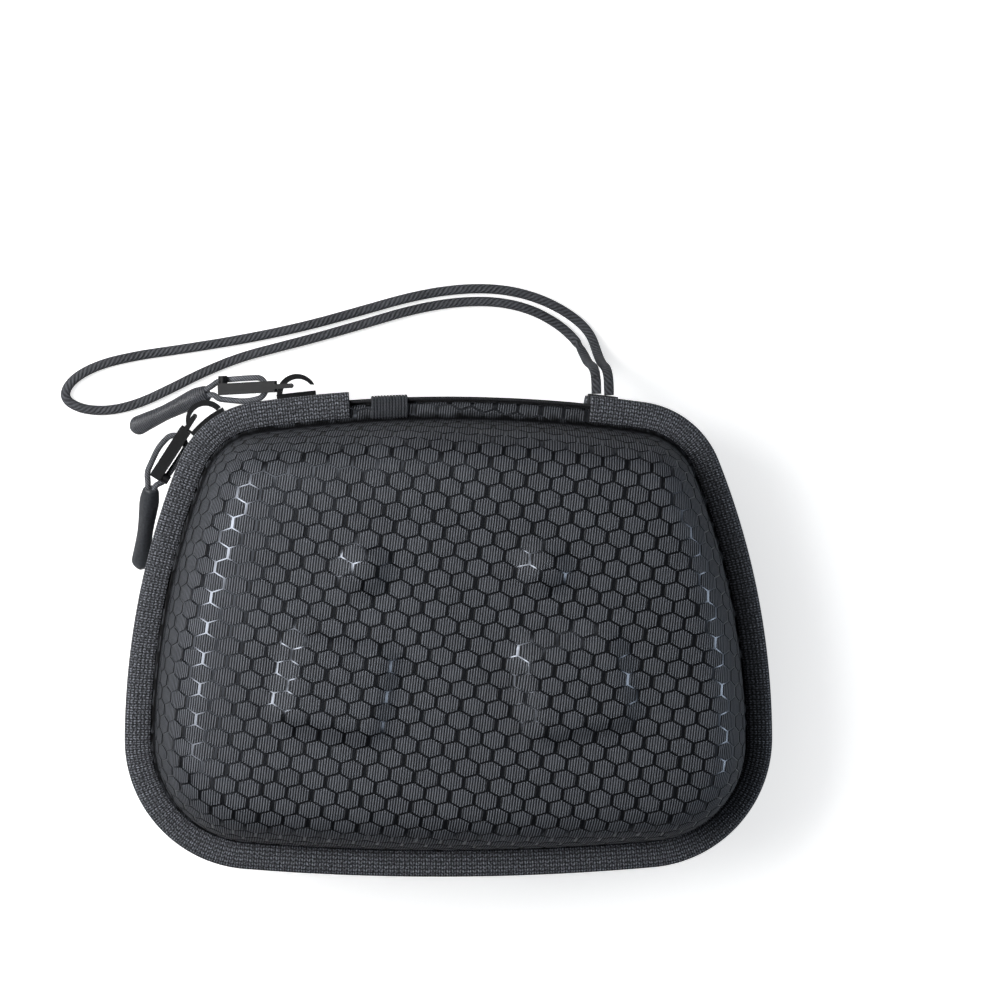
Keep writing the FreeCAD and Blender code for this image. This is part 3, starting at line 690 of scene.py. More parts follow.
@dataclass(frozen=True)
class Finish:
    """One finish of the case and how its material is made, its pitch and depth in metres."""

    name: str
    colour: Colour
    dark: Colour
    pattern: Pattern = Pattern.PLAIN
    roughness: float = 0.55
    metallic: float = 0.0
    specular: float = 0.5
    sheen: float = 0.0
    pitch: float = 0.0006
    lean: float = 0.0
    depth: float = 0.00012
    strength: float = 0.6
    by_uv: bool = True
    groove_roughness: float = 0.29

    def material(self, weaves: Weaves) -> bpy.types.Material:
        """Material of the finish.

        Args:
            weaves: the shared shader groups.

        Returns:
            The new material.
        """
        made = bpy.data.materials.new(self.name)
        made.use_nodes = True
        w = Wiring(made.node_tree)
        shader = made.node_tree.nodes["Principled BSDF"]
        shader.inputs["Roughness"].default_value = self.roughness
        shader.inputs["Metallic"].default_value = self.metallic
        shader.inputs["Specular IOR Level"].default_value = self.specular
        shader.inputs["Sheen Weight"].default_value = self.sheen
        place = w.add("ShaderNodeTexCoord").outputs["UV" if self.by_uv else "Object"]
        grain = w.add("ShaderNodeGroup", node_tree=weaves.grain)
        w.put(grain.inputs["Place"], place)
        tone = grain.outputs["Tone"]
        height: object = tone
        if self.pattern is Pattern.CELLS:
            height, tone = self.cells(w, weaves, place, tone, shader)
        elif self.pattern is Pattern.KNIT:
            height, tone = self.knit(w, weaves, place)
        elif self.pattern is Pattern.RIBS:
            height = self.ribs(w, weaves, place)
            tone = w.sum("MULTIPLY_ADD", tone, 0.4, w.sum("MULTIPLY", height, 0.6))
        w.put(shader.inputs["Base Color"], w.between(tone, self.dark, self.colour))
        bump = w.add("ShaderNodeBump")
        bump.inputs["Strength"].default_value = self.strength
        bump.inputs["Distance"].default_value = self.depth
        w.put(bump.inputs["Height"], height)
        w.put(shader.inputs["Normal"], bump.outputs[0])
        return made

    def ribs(self, w: Wiring, weaves: Weaves, place: object) -> bpy.types.NodeSocket:
        """Ribs of this finish, at its pitch and lean.

        Args:
            w: adds the nodes.
            weaves: the shared shader groups.
            place: the surface's coordinates.

        Returns:
            The ribs' height.
        """
        ribs = w.add("ShaderNodeGroup", node_tree=weaves.ribs)
        w.put(ribs.inputs["Place"], place)
        ribs.inputs["Pitch"].default_value = self.pitch
        ribs.inputs["Lean"].default_value = self.lean
        return ribs.outputs["Height"]

    def knit(self, w: Wiring, weaves: Weaves, place: object) -> tuple[bpy.types.NodeSocket, bpy.types.NodeSocket]:
        """Height and tone of knitted tape.

        Args:
            w: adds the nodes.
            weaves: the shared shader groups.
            place: the tape's flat coordinates.

        Returns:
            The bump's height and the share between the two colours.
        """
        knit = w.add("ShaderNodeGroup", node_tree=weaves.knit)
        w.put(knit.inputs["Place"], place)
        knit.inputs["Column"].default_value = self.pitch
        knit.inputs["Row"].default_value = self.pitch * 0.75
        height = knit.outputs["Height"]
        tone = w.sum("MULTIPLY", height, knit.outputs["Fleck"])
        return height, w.sum("MULTIPLY_ADD", tone, 0.8, w.sum("MULTIPLY", height, 0.16))

    def cells(
        self, w: Wiring, weaves: Weaves, place: object, tone: object, shader: bpy.types.Node
    ) -> tuple[bpy.types.NodeSocket, bpy.types.NodeSocket]:
        """Height and tone of embossed cells: ribbed tops and smooth shining grooves.

        Args:
            w: adds the nodes.
            weaves: the shared shader groups.
            place: the fabric's flat coordinates.
            tone: the grain's tone.
            shader: the material's Principled BSDF.

        Returns:
            The bump's height and the share between the two colours.
        """
        mark = w.add("ShaderNodeAttribute", attribute_name="groove").outputs["Fac"]
        shade = w.add("ShaderNodeAttribute", attribute_name="shade").outputs["Fac"]
        # Darkening read from the mesh: dark film in the grooves, and painted shade on the groove walls, on the wall
        # and at its foot.
        groove_dark_and_painted_shade = w.add("ShaderNodeAttribute", attribute_name="groove_dark_and_painted_shade").outputs["Fac"]
        top = w.sum("SUBTRACT", 1.0, mark, clamp=True)
        ribs = self.ribs(w, weaves, place)
        height = w.sum("MULTIPLY", ribs, top)
        w.put(shader.inputs["Roughness"], w.ramp(mark, 0.0, 1.0, self.roughness, self.groove_roughness))
        w.put(shader.inputs["Metallic"], w.ramp(mark, 0.3, 0.9, 0.0, 1.0))
        ribs = w.sum("POWER", ribs, 2.0)
        lit = w.sum("MULTIPLY_ADD", ribs, 0.92, w.sum("MULTIPLY_ADD", tone, 0.05, w.sum("MULTIPLY", shade, 0.05)))
        lit = w.sum("MULTIPLY", lit, w.sum("SUBTRACT", 1.0, groove_dark_and_painted_shade, clamp=True))
        film = w.ramp(mark, 0.3, 1.0, 0.0, 0.5)
        return height, w.sum("MAXIMUM", w.sum("MULTIPLY", lit, top), film)


@dataclass
class Cells:
    """Hexagons of the embossed fabric, laid on flat cloth and pressed over a half shell.

    A cell is rings of points, each a step further in from its border, and a middle. Each ring and the middle have a
    share of the height, a shine and a darkening of their own: dark film in the groove, and painted shade on the
    groove's walls.
    """

    pitch: float = 6.9
    row: float = 4.25
    tip: float = 1.45
    turn: float = math.radians(-7.0)
    rings: tuple[float, ...] = (0.0, 0.19, 0.2, 0.26, 0.3)
    levels: tuple[float, ...] = (0.0, 0.0, 0.0, 0.97, 1.0, 1.0)
    gloss: tuple[float, ...] = (1.0, 1.0, 0.0, 0.0, 0.0, 0.0)
    # Darkening of each ring: dark groove film on the floor, painted shade on the groove's walls.
    dark: tuple[float, ...] = (0.9, 0.9, 0.95, 0.8, 0.0, 0.0)
    upright: float = 2.2
    height: float = 0.18
    seed: int = 7

    def ring(self, inward: float) -> np.ndarray:
        """Corners and edge middles of one cell moved inwards by a distance.

        Args:
            inward: distance from the cell's border.

        Returns:
            Twelve points, anticlockwise.
        """
        half = 0.5 * self.pitch
        peak = 0.5 * (self.row + self.tip)
        long = math.hypot(self.tip, half)
        nx, ny = self.tip / long, half / long
        level = ny * peak - inward
        wide = half - self.upright * inward
        high = (level - nx * wide) / ny
        top = level / ny
        corners = np.array([(wide, -high), (wide, high), (0, top), (-wide, high), (-wide, -high), (0, -top)])
        middles = 0.5 * (corners + np.roll(corners, -1, axis=0))
        return np.stack([corners, middles], axis=1).reshape(-1, 2)

    def centres(self, reach: float) -> np.ndarray:
        """Cell centres in a square, every second row moved by half a pitch.

        Args:
            reach: half the square's size.

        Returns:
            Centres as an (n, 2) array.
        """
        rows, cols = int(reach / self.row), int(reach / self.pitch)
        j, i = np.meshgrid(np.arange(-rows, rows + 1), np.arange(-cols, cols + 1), indexing="ij")
        return np.stack([(i + 0.5 * (j % 2)) * self.pitch, j * self.row], axis=2).reshape(-1, 2)

    def each(self, values: Sequence[float], count: int) -> np.ndarray:
        """One value a ring, given to every point of this many cells."""
        return np.tile(np.repeat(np.array(values), CELL_POINTS), count)

    def turned(self, flat: np.ndarray) -> np.ndarray:
        """Points turned with the fabric."""
        c, s = math.cos(self.turn), math.sin(self.turn)
        return flat @ np.array([[c, s], [-s, c]])


@dataclass
class Relief:
    """Shapes pressed out of the front: two domes and two turned rounded squares."""

    height: float = 3.0
    flank: float = 6.0
    dome: tuple[float, float, float] = (24.9, 20.5, 8.4)
    pad: tuple[float, float, float, float, float] = (33.2, -12.0, 34.8, 32.0, 7.5)
    pad_turn: float = math.radians(10.4)

    def lift(self, flat: np.ndarray) -> np.ndarray:
        """Height of the relief at flat points: a smooth step over the flank's width.

        Args:
            flat: points as an (n, 2) array.

        Returns:
            Heights in millimetres.
        """
        best = np.full(len(flat), 99.0)
        dome_x, dome_y, dome_radius = self.dome
        x, y, width, height, corner = self.pad
        for sx in (-1.0, 1.0):
            best = np.minimum(best, np.hypot(flat[:, 0] - sx * dome_x, flat[:, 1] - dome_y) - dome_radius)
            c, s = math.cos(sx * self.pad_turn), math.sin(sx * self.pad_turn)
            dx, dy = flat[:, 0] - sx * x, flat[:, 1] - y
            u, v = np.abs(c * dx + s * dy), np.abs(c * dy - s * dx)
            over = np.stack([u - 0.5 * width + corner, v - 0.5 * height + corner])
            outer = np.hypot(*np.maximum(over, 0.0)) + np.minimum(over.max(axis=0), 0.0) - corner
            best = np.minimum(best, outer)
        share = np.clip(-best / self.flank, 0.0, 1.0)
        return self.height * share * share * (3.0 - 2.0 * share)


@dataclass
class HalfShell:
    """Embossed outer fabric and soft lining of one half.

    Towards the wall's foot the cells fade into a smooth band. The ramps of painted shade darken the wall and its foot,
    where shade falls; they hold how far above the foot each one starts, its width and its share.
    """

    side: Side
    rim: Rim
    wall: Wall
    cells: Cells
    relief: Relief | None
    body: Body
    node: str
    soften: float = 10.0
    dip: float = 0.55
    band: float = 4.5
    band_fade: float = 2.7
    # Painted shade: the wall is darkened towards its foot, and the ledge by the binding too, as the shade that falls
    # there.
    painted_shade_ramps: tuple[Triple, ...] = ((4.5, 2.7, 0.3), (2.4, 1.5, 0.3), (30.0, 20.0, 0.36))
    ledge_at: float = 1.3
    ledge_painted_shade: float = 0.3
    wall_gloss: float = 0.15
    gloss_ramp: tuple[float, float] = (18.0, 8.0)
    shell_wall: float = 3.0
    flange_gap: float = 5.5
    mouth: float = 3.4

    def painted_wall_shade(self, near: np.ndarray) -> np.ndarray:
        """How far painted shade darkens the threads: clamped ramps added up, and one value out on the ledge.

        Args:
            near: distance past the wall's foot, negative above it.

        Returns:
            Shares from 0 to 1.
        """
        ramps = [share * np.clip((near + start) / width, 0.0, 1.0) for start, width, share in self.painted_shade_ramps]
        return np.where(near > self.ledge_at, self.ledge_painted_shade, sum(ramps))

    def gloss(self, near: np.ndarray, fade: np.ndarray) -> np.ndarray:
        """Shine of the grooves: fading down the wall, and full out on the ledge.

        Args:
            near: distance past the wall's foot, negative above it.
            fade: share of the cells' height that is left.

        Returns:
            Shares from 0 to 1.
        """
        start, width = self.gloss_ramp
        lost = (1.0 - self.wall_gloss) * np.clip((near + start) / width, 0.0, 1.0)
        return np.where(near > self.ledge_at, 1.0, fade * (1.0 - lost))

    def fabric(self, finish: bpy.types.Material) -> bpy.types.Object:
        """Outer fabric: every cell is rings of twelve points round a middle.

        Args:
            finish: the fabric's material.

        Returns:
            The new object.
        """
        cells = self.cells
        reach = float(self.wall.length[-1])
        centres = cells.centres(160.0)
        middle = cells.turned(centres)
        away = self.rim.nearest(middle, self.wall.plateau_inset)[2]
        centres = centres[away < reach + 1.5]
        rings = np.stack([cells.ring(step) for step in cells.rings] + [np.zeros((CELL_POINTS, 2))])
        cloth = (centres[:, None, None, :] + rings[None]).reshape(-1, 2)
        flat = cells.turned(cloth)
        count, steps = len(centres), len(cells.rings)
        away = self.rim.nearest(flat, self.wall.plateau_inset)[2]
        near = away - self.wall.foot_at
        fade = 1.0 - np.clip((near + self.band) / self.band_fade, 0.0, 1.0)
        dip = np.clip((away + self.soften) / self.soften, 0.0, 1.0)
        lift = cells.each(cells.levels, count) * cells.height * fade - self.dip * dip * dip
        if self.relief is not None:
            lift = lift + self.relief.lift(flat)
        else:
            lift = lift - cells.height
        points = self.wall.place(self.rim, flat, lift, self.side, reach)
        ids = np.arange(count * (steps + 1) * CELL_POINTS).reshape(count, steps + 1, CELL_POINTS)
        ids[:, steps, :] = ids[:, steps, :1]
        a, b = ids[:, :-2, :], ids[:, 1:-1, :]
        quads = np.stack([a, np.roll(a, -1, axis=2), np.roll(b, -1, axis=2), b], axis=3).reshape(-1, 4)
        last, tip = ids[:, steps - 1, :], ids[:, steps, :]
        tris = np.stack([last, np.roll(last, -1, axis=1), tip], axis=2).reshape(-1, 3)
        draw = np.random.default_rng(cells.seed).uniform(0.0, 1.0, count)
        marks = {
            "groove": self.gloss(near, fade) * cells.each(cells.gloss, count),
            "shade": np.repeat(draw, (steps + 1) * CELL_POINTS),
            # Painted shade on the wall, at its foot and on the groove walls, together with the dark film of the
            # grooves.
            "groove_dark_and_painted_shade": np.maximum(self.painted_wall_shade(near), cells.each(cells.dark, count)),
        }
        used, back = np.unique(np.round(points, 4), axis=0, return_inverse=True)
        first = np.zeros(len(used), dtype=int)
        first[back.ravel()] = np.arange(len(points))
        quads, tris = back.ravel()[quads], back.ravel()[tris]
        keep = (np.diff(np.sort(tris, axis=1), axis=1) > 0).all(axis=1)
        tris = tris[keep]
        broken = (np.diff(np.sort(quads, axis=1), axis=1) == 0).any(axis=1)
        quads = quads[~broken]
        if self.side is Side.BACK:
            quads, tris = quads[:, ::-1], tris[:, ::-1]
        kept = {name: values[first] for name, values in marks.items()}
        return Surface(f"{self.node}_fabric", used, quads, tris, cloth[first], kept).build(
            finish, self.body, (self.node,)
        )

    def lining(self, finish: bpy.types.Material) -> bpy.types.Object:
        """Lining: the wall's line moved in by the shell's thickness, carried round and closed in the middle.

        Args:
            finish: the lining's material.

        Returns:
            The new object.
        """
        wall = self.wall
        pick = np.interp(np.linspace(0.0, wall.foot_at, 24), wall.length, np.arange(len(wall.length))).astype(int)
        inset = wall.inset[pick] + self.shell_wall * np.sin(wall.slope[pick])
        height = wall.height[pick] - self.shell_wall * np.cos(wall.slope[pick])
        gap, mouth = self.flange_gap, self.mouth
        keep = height > gap + 0.1
        line = np.column_stack([inset[keep], height[keep]])
        low, under = line[-1, 0], gap - 0.05
        flange = [(low, gap), (low - 0.2, under), (mouth + 0.1, under), (mouth, gap), (mouth, gap + 0.4)]
        line = np.concatenate([line, flange])
        stations = self.rim.stations(3.0)
        around = sweep(stations, line, self.side, wall)
        ring = around[:, :1, :]
        shares = np.linspace(0.04, 0.94, 12)[None, :, None]
        floor = ring * np.array([1.0, 1.0, 0.0]) * shares + ring * np.array([0.0, 0.0, 1.0])
        points = np.concatenate([floor, around], axis=1)
        rows, cols = points.shape[:2]
        quads = grid_quads(rows, cols, wrap_rows=True, flip=self.side is Side.FRONT)
        middle = np.array([[0.0, 0.0, float(ring[0, 0, 2])]])
        hub = rows * cols
        first = np.arange(rows) * cols
        tris = np.stack([np.full(rows, hub), first, np.roll(first, -1)], axis=1)
        if self.side is Side.FRONT:
            tris = tris[:, ::-1]
        flat = points.reshape(-1, 3)
        every = np.concatenate([flat, middle])
        return Surface(f"{self.node}_lining", every, quads, tris, every[:, :2]).build(finish, self.body)


@dataclass
class Edging:
    """Knit tape folded over a half's flange, with the zipper's tape and teeth under it.

    Heights are from the parting, insets from the rim. A tooth's middle and half sizes go along its height, its
    inset and the rim.
    """

    side: Side
    rim: Rim
    wall: Wall
    body: Body
    cover: float = 7.5
    low: float = 4.6
    high: float = 9.4
    puff: float = 0.35
    shoulder: float = 9.1
    upper_round: float = 2.1
    lower_round: float = 1.5
    web_inset: float = 2.2
    web_thick: float = 0.8
    web_low: float = 0.8
    toe: float = 4.0
    toe_low: float = 4.7
    toe_high: float = 5.4
    tooth_pitch: float = 1.5
    tooth_start: float = 0.25
    tooth_middle: Triple = (1.15, 1.5, 0.0)
    tooth_half: Triple = (1.75, 0.62, 0.44)
    tooth_blunt: float = 0.86

    def piece(self, what: str) -> str:
        """Name of the CAD node of this half's binding, tape or coil."""
        return self.body.value.replace("_half", f"_{what}")

    def section(self) -> np.ndarray:
        """Closed line of the folded tape: its inner edge on top, the bulge, the rim's two rounds and the lip below.

        Returns:
            Points as an (n, 2) array of insets and heights.
        """
        crest, big, small = self.high + self.puff, self.upper_round, self.lower_round
        top = [(self.cover, 8.5), (self.cover - 0.05, 8.75), (self.cover - 0.35, 9.0)]
        across = np.linspace(self.cover - 1.1, big + 0.3, 8)
        bulge = self.shoulder + (crest - self.shoulder) * np.sin(np.linspace(0.1, 0.5 * math.pi, 8))
        turn = np.linspace(0.5 * math.pi, math.pi, 6)
        upper = np.column_stack([big + big * np.cos(turn), crest - big + big * np.sin(turn)])[1:]
        turn = np.linspace(math.pi, 1.5 * math.pi, 6)
        lower = np.column_stack([small + small * np.cos(turn), self.low + small + small * np.sin(turn)])
        lip = [(self.web_inset, self.low), (self.web_inset, 5.3)]
        return np.concatenate([top, np.column_stack([across, bulge]), upper, lower, lip])

    def tape(self, finish: bpy.types.Material) -> bpy.types.Object:
        """Knit tape swept from one end of the hinge round to the other.

        Args:
            finish: the knit's material.

        Returns:
            The new object.
        """
        stations = self.rim.stations(1.2, self.rim.hinge_left, self.rim.hinge_right)
        line = self.section()
        points = sweep(stations, line, self.side, self.wall)
        rows, cols = points.shape[:2]
        quads = grid_quads(rows, cols, wrap_cols=True, flip=self.side is Side.BACK)
        fan = cap_fan(cols)
        tris = np.concatenate([fan, fan[:, [0, 2, 1]] + (rows - 1) * cols])
        if self.side is Side.BACK:
            tris = tris[:, ::-1]
        name = self.piece("binding")
        uv = grid_uv(stations.along, line_run(line))
        return Surface(f"{name}_tape", points.reshape(-1, 3), quads, tris, uv).build(
            finish, self.body, (name,)
        )

    def web(self, finish: bpy.types.Material) -> bpy.types.Object:
        """Woven zipper tape: an upright web and a sewn toe, swept along the zipper.

        Args:
            finish: the tape's material.

        Returns:
            The new object.
        """
        outer, inner = self.web_inset, self.web_inset + self.web_thick
        toe = inner + self.toe
        line = np.array(
            [
                (outer, self.web_low), (inner, self.web_low), (inner, self.toe_low),
                (toe, self.toe_low), (toe, self.toe_high), (outer, self.toe_high),
            ]
        )
        stations = self.rim.stations(2.0, self.rim.hinge_left, self.rim.hinge_right + STRIP_END)
        points = sweep(stations, line, self.side, self.wall)
        rows, cols = points.shape[:2]
        quads = grid_quads(rows, cols, wrap_cols=True, flip=self.side is Side.FRONT)
        name = self.piece("zipper_tape")
        uv = grid_uv(stations.along, line_run(line))
        return Surface(f"{name}_weave", points.reshape(-1, 3), quads, uv=uv).build(
            finish, self.body, (name,)
        )

    def teeth(self, finish: bpy.types.Material) -> bpy.types.Object:
        """Coil turns: blunt upright ovals, standing half a pitch off the other half's.

        Args:
            finish: the coil's material.

        Returns:
            The new object.
        """
        spans, ring = 5, 8
        stations = self.rim.stations(self.tooth_pitch, self.rim.hinge_left, self.rim.hinge_right + STRIP_END)
        count = int(stations.along[-1] / self.tooth_pitch)
        start = self.tooth_start if self.side is Side.FRONT else self.tooth_start + 0.5
        at = (np.arange(count) + start) * self.tooth_pitch
        turn = np.unwrap(stations.turn)
        whole = np.interp(at, stations.along, np.arange(len(turn)))
        pick = np.clip(np.round(whole).astype(int), 0, len(turn) - 1)
        base = whole - pick
        nearby = np.clip(pick + 1, 0, len(turn) - 1)
        angle = turn[pick] + base * (turn[nearby] - turn[pick]) * (stations.radius[pick] == stations.radius[nearby])
        u = np.linspace(-1.0, 1.0, spans)
        v = np.linspace(0.0, 2.0 * math.pi, ring, endpoint=False)
        wide = np.sqrt(1.0 - (self.tooth_blunt * u) ** 2)
        rise = self.tooth_middle[0] + self.tooth_half[0] * u
        depth = self.tooth_middle[1] + self.tooth_half[1] * wide[:, None] * np.cos(v)[None, :]
        across = self.tooth_half[2] * wide[:, None] * np.sin(v)[None, :]
        reach = stations.radius[pick][:, None, None] - depth[None]
        c, s = np.cos(angle)[:, None, None], np.sin(angle)[:, None, None]
        x = stations.x[pick][:, None, None] + reach * c - across[None] * s
        y = stations.y[pick][:, None, None] + reach * s + across[None] * c
        z = np.broadcast_to(self.wall.parting + self.side.value * rise[None, :, None], x.shape)
        points = np.stack([x, y, z], axis=3).reshape(-1, 3)
        one = grid_quads(spans, ring, wrap_cols=True, flip=self.side is Side.FRONT)
        caps = cap_fan(ring)
        caps = np.concatenate([caps, caps[:, ::-1] + (spans - 1) * ring])
        if self.side is Side.FRONT:
            caps = caps[:, ::-1]
        shifts = (np.arange(count) * spans * ring)[:, None, None]
        quads, tris = (one[None] + shifts).reshape(-1, 4), (caps[None] + shifts).reshape(-1, 3)
        name = self.piece("zipper_coil")
        return Surface(f"{name}_teeth", points, quads, tris, points[:, :2]).build(
            finish, self.body, (name,)
        )


@dataclass
class Hinge:
    """Fabric web between the two hinge bands and the thread wound round the front one.

    The thread's line goes by inset and height, over the band and under it.
    """

    rim: Rim
    wall: Wall
    whip_gap: float = 6.5
    whip_turns: int = 12
    whip_pitch: float = 0.87
    whip_line: tuple[tuple[float, float], ...] = (
        (7.9, 8.5), (7.4, 9.2), (5.6, 9.25), (4.4, 9.2), (3.3, 8.95),
        (2.5, 8.3), (2.05, 7.2), (1.95, 5.6), (2.0, 4.2), (2.4, 3.3),
    )
    thread: float = 0.43
    thread_points: int = 8
    fold_reach: float = 8.3
    fold_inset: float = 3.3
    fold_depth: float = 3.2
    fold_width: float = 3.4
    fold_thick: float = 0.9
    bend_y: float = 0.067
    bend_half: float = 0.004

    def fold(self, finish: bpy.types.Material) -> bpy.types.Object:
        """Web: a pleat swept along the top. Its depth is a bell over its height.

        Args:
            finish: the web's material.

        Returns:
            The new object.
        """
        height = np.linspace(self.fold_reach, -self.fold_reach, 34)
        depth = self.fold_inset + self.fold_depth * np.exp(-((height / self.fold_width) ** 2))
        outer = np.column_stack([depth - self.fold_thick, height])
        inner = np.column_stack([depth, height])[::-1]
        line = np.concatenate([outer, inner])
        stations = self.rim.top_stations(self.rim.hinge_left, self.rim.hinge_right, 40)
        points = sweep(stations, line, Side.FRONT, self.wall)
        rows, cols = points.shape[:2]
        quads = grid_quads(rows, cols, wrap_cols=True)
        uv = grid_uv(stations.along, line_run(line))
        made = Surface("hinge_pleat", points.reshape(-1, 3), quads, uv=uv).build(
            finish, None, ("hinge_fold",)
        )
        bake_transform(made)
        return made

    def whipping(self, finish: bpy.types.Material) -> bpy.types.Object:
        """Thread turns: a round thread carried over the band's top, edge and underside, once a turn.

        Args:
            finish: the thread's material.

        Returns:
            The new object.
        """
        path = np.array(self.whip_line)
        grow = np.linspace(0.0, 2.0 * math.pi, self.thread_points, endpoint=False)
        way = np.gradient(path, axis=0)
        way /= np.hypot(*way.T)[:, None]
        normal = np.column_stack([way[:, 1], -way[:, 0]])
        turns = np.arange(self.whip_turns)
        x = self.rim.hinge_left + self.whip_gap + (turns + 0.5) * self.whip_pitch
        swell = np.where(turns % 2 == 0, 1.0, 0.93)
        ring = path[:, None, :] + self.thread * normal[:, None, :] * np.cos(grow)[None, :, None]
        side = self.thread * np.sin(grow)[None, None, :] * np.ones((1, len(path), 1))
        px = x[:, None, None] + side * swell[:, None, None]
        inset = np.broadcast_to(ring[None, :, :, 0], px.shape)
        level = np.broadcast_to(ring[None, :, :, 1], px.shape)
        top = self.rim.arcs[TOP]
        py = top.y + np.sqrt((top.radius - inset) ** 2 - px**2)
        points = np.stack([px, py, self.wall.parting + level], axis=3).reshape(-1, 3)
        size = len(path) * self.thread_points
        one = grid_quads(len(path), self.thread_points, wrap_cols=True)
        quads = (one[None] + (turns * size)[:, None, None]).reshape(-1, 4)
        run = line_run(path)[None, :, None] + turns[:, None, None] * 20.0
        uv = np.stack(np.broadcast_arrays(grow[None, None, :] * self.thread, run), axis=3)
        return Surface("hinge_thread_turns", points, quads, uv=uv.reshape(-1, 2)).build(
            finish, Body.FRONT_HALF, ("hinge_whipping",)
        )


@dataclass
class WristStrap:
    """Woven wrist strap: one narrow tape, down from its anchor and round on the floor, as the photograph's loop."""

    rim: Rim
    wall: Wall
    width: float = 2.9
    thick: float = 2.1
    anchor_out: float = 0.6
    anchor_middle: float = 4.5
    spread: float = 1.85
    exit_drop: float = 2.7
    lie: float = 1.65

    def drop(self, x: float, out: float, z: float) -> Triple:
        """Point in front of the anchor's outer face, which follows the top arc.

        Args:
            x: place along the top.
            out: distance from the face.
            z: height above the floor.

        Returns:
            The point.
        """
        top = self.rim.arcs[TOP]
        return (x, top.y + math.sqrt((top.radius + self.anchor_out) ** 2 - x * x) + out, z)

    def route(self) -> list[Triple]:
        """Points of the strap's middle line in millimetres: down, round the loop on the floor, and up again."""
        middle = self.rim.hinge_right + self.anchor_middle
        right, left = middle + self.spread, middle - self.spread
        exit_z, lie = self.wall.parting - self.exit_drop, self.lie
        floor = [
            (45.6, 87.6), (38.6, 93.6), (28.6, 98.4), (17.0, 100.8), (3.9, 100.5), (-9.5, 98.1),
            (-23.5, 94.1), (-38.1, 90.0), (-52.1, 86.8), (-66.1, 84.2), (-80.1, 82.0), (-93.4, 80.1),
            (-104.7, 77.3), (-112.6, 72.7), (-114.9, 67.3), (-109.4, 63.9), (-100.7, 63.4), (-91.6, 65.7),
            (-81.9, 70.3), (-72.1, 75.3), (-61.2, 79.7), (-49.9, 82.7), (-37.0, 86.0), (-22.5, 90.2),
            (-8.6, 94.3), (4.3, 96.6), (16.6, 96.9), (27.2, 94.6), (36.0, 89.9),
        ]
        return [
            self.drop(right, 0.25, exit_z),
            self.drop(right, 5.4, exit_z - 0.4),
            self.drop(right + 0.1, 8.6, exit_z - 8.5),
            self.drop(right + 0.2, 9.6, exit_z - 18.5),
            self.drop(right + 0.2, 12.2, lie + 4.4),
            *[(x, y, lie) for x, y in floor],
            (41.6, 84.6, lie + 0.4),
            self.drop(left - 0.2, 11.4, lie + 5.4),
            self.drop(left - 0.1, 9.2, exit_z - 18.5),
            self.drop(left, 8.4, exit_z - 8.5),
            self.drop(left, 5.4, exit_z - 0.4),
            self.drop(left, 0.25, exit_z),
        ]

    def tape(self, finish: bpy.types.Material) -> bpy.types.Object:
        """Tape: an oval section carried along the route's smooth spline.

        Args:
            finish: the weave's material.

        Returns:
            The new object.
        """
        route = self.route()
        path = smooth_path("wrist_strap_route", route)
        way = np.gradient(path, axis=0)
        way /= np.linalg.norm(way, axis=1)[:, None]
        steep = np.abs(way[:, 2])[:, None]
        level = UP * (1.0 - steep) + np.array([0.0, 1.0, 0.0]) * steep * np.sign(-way[:, 2:3] + 1e-9)
        across = np.cross(level, way)
        across /= np.linalg.norm(across, axis=1)[:, None]
        normal = np.cross(way, across)
        grow = np.linspace(0.0, 2.0 * math.pi, 14, endpoint=False)
        c, s = superround(grow, 0.8)
        flat, rise = 0.5 * self.width * c, 0.5 * self.thick * s
        points = path[:, None] + across[:, None] * flat[None, :, None] + normal[:, None] * rise[None, :, None]
        rows, cols = points.shape[:2]
        quads = grid_quads(rows, cols, wrap_cols=True, flip=True)
        uv = grid_uv(line_run(path), grow * 0.45 * self.width)[:, ::-1]
        made = Surface("wrist_strap_tape", points.reshape(-1, 3), quads, uv=uv).build(
            finish, Body.BACK_HALF, ("wrist_strap",)
        )
        return made


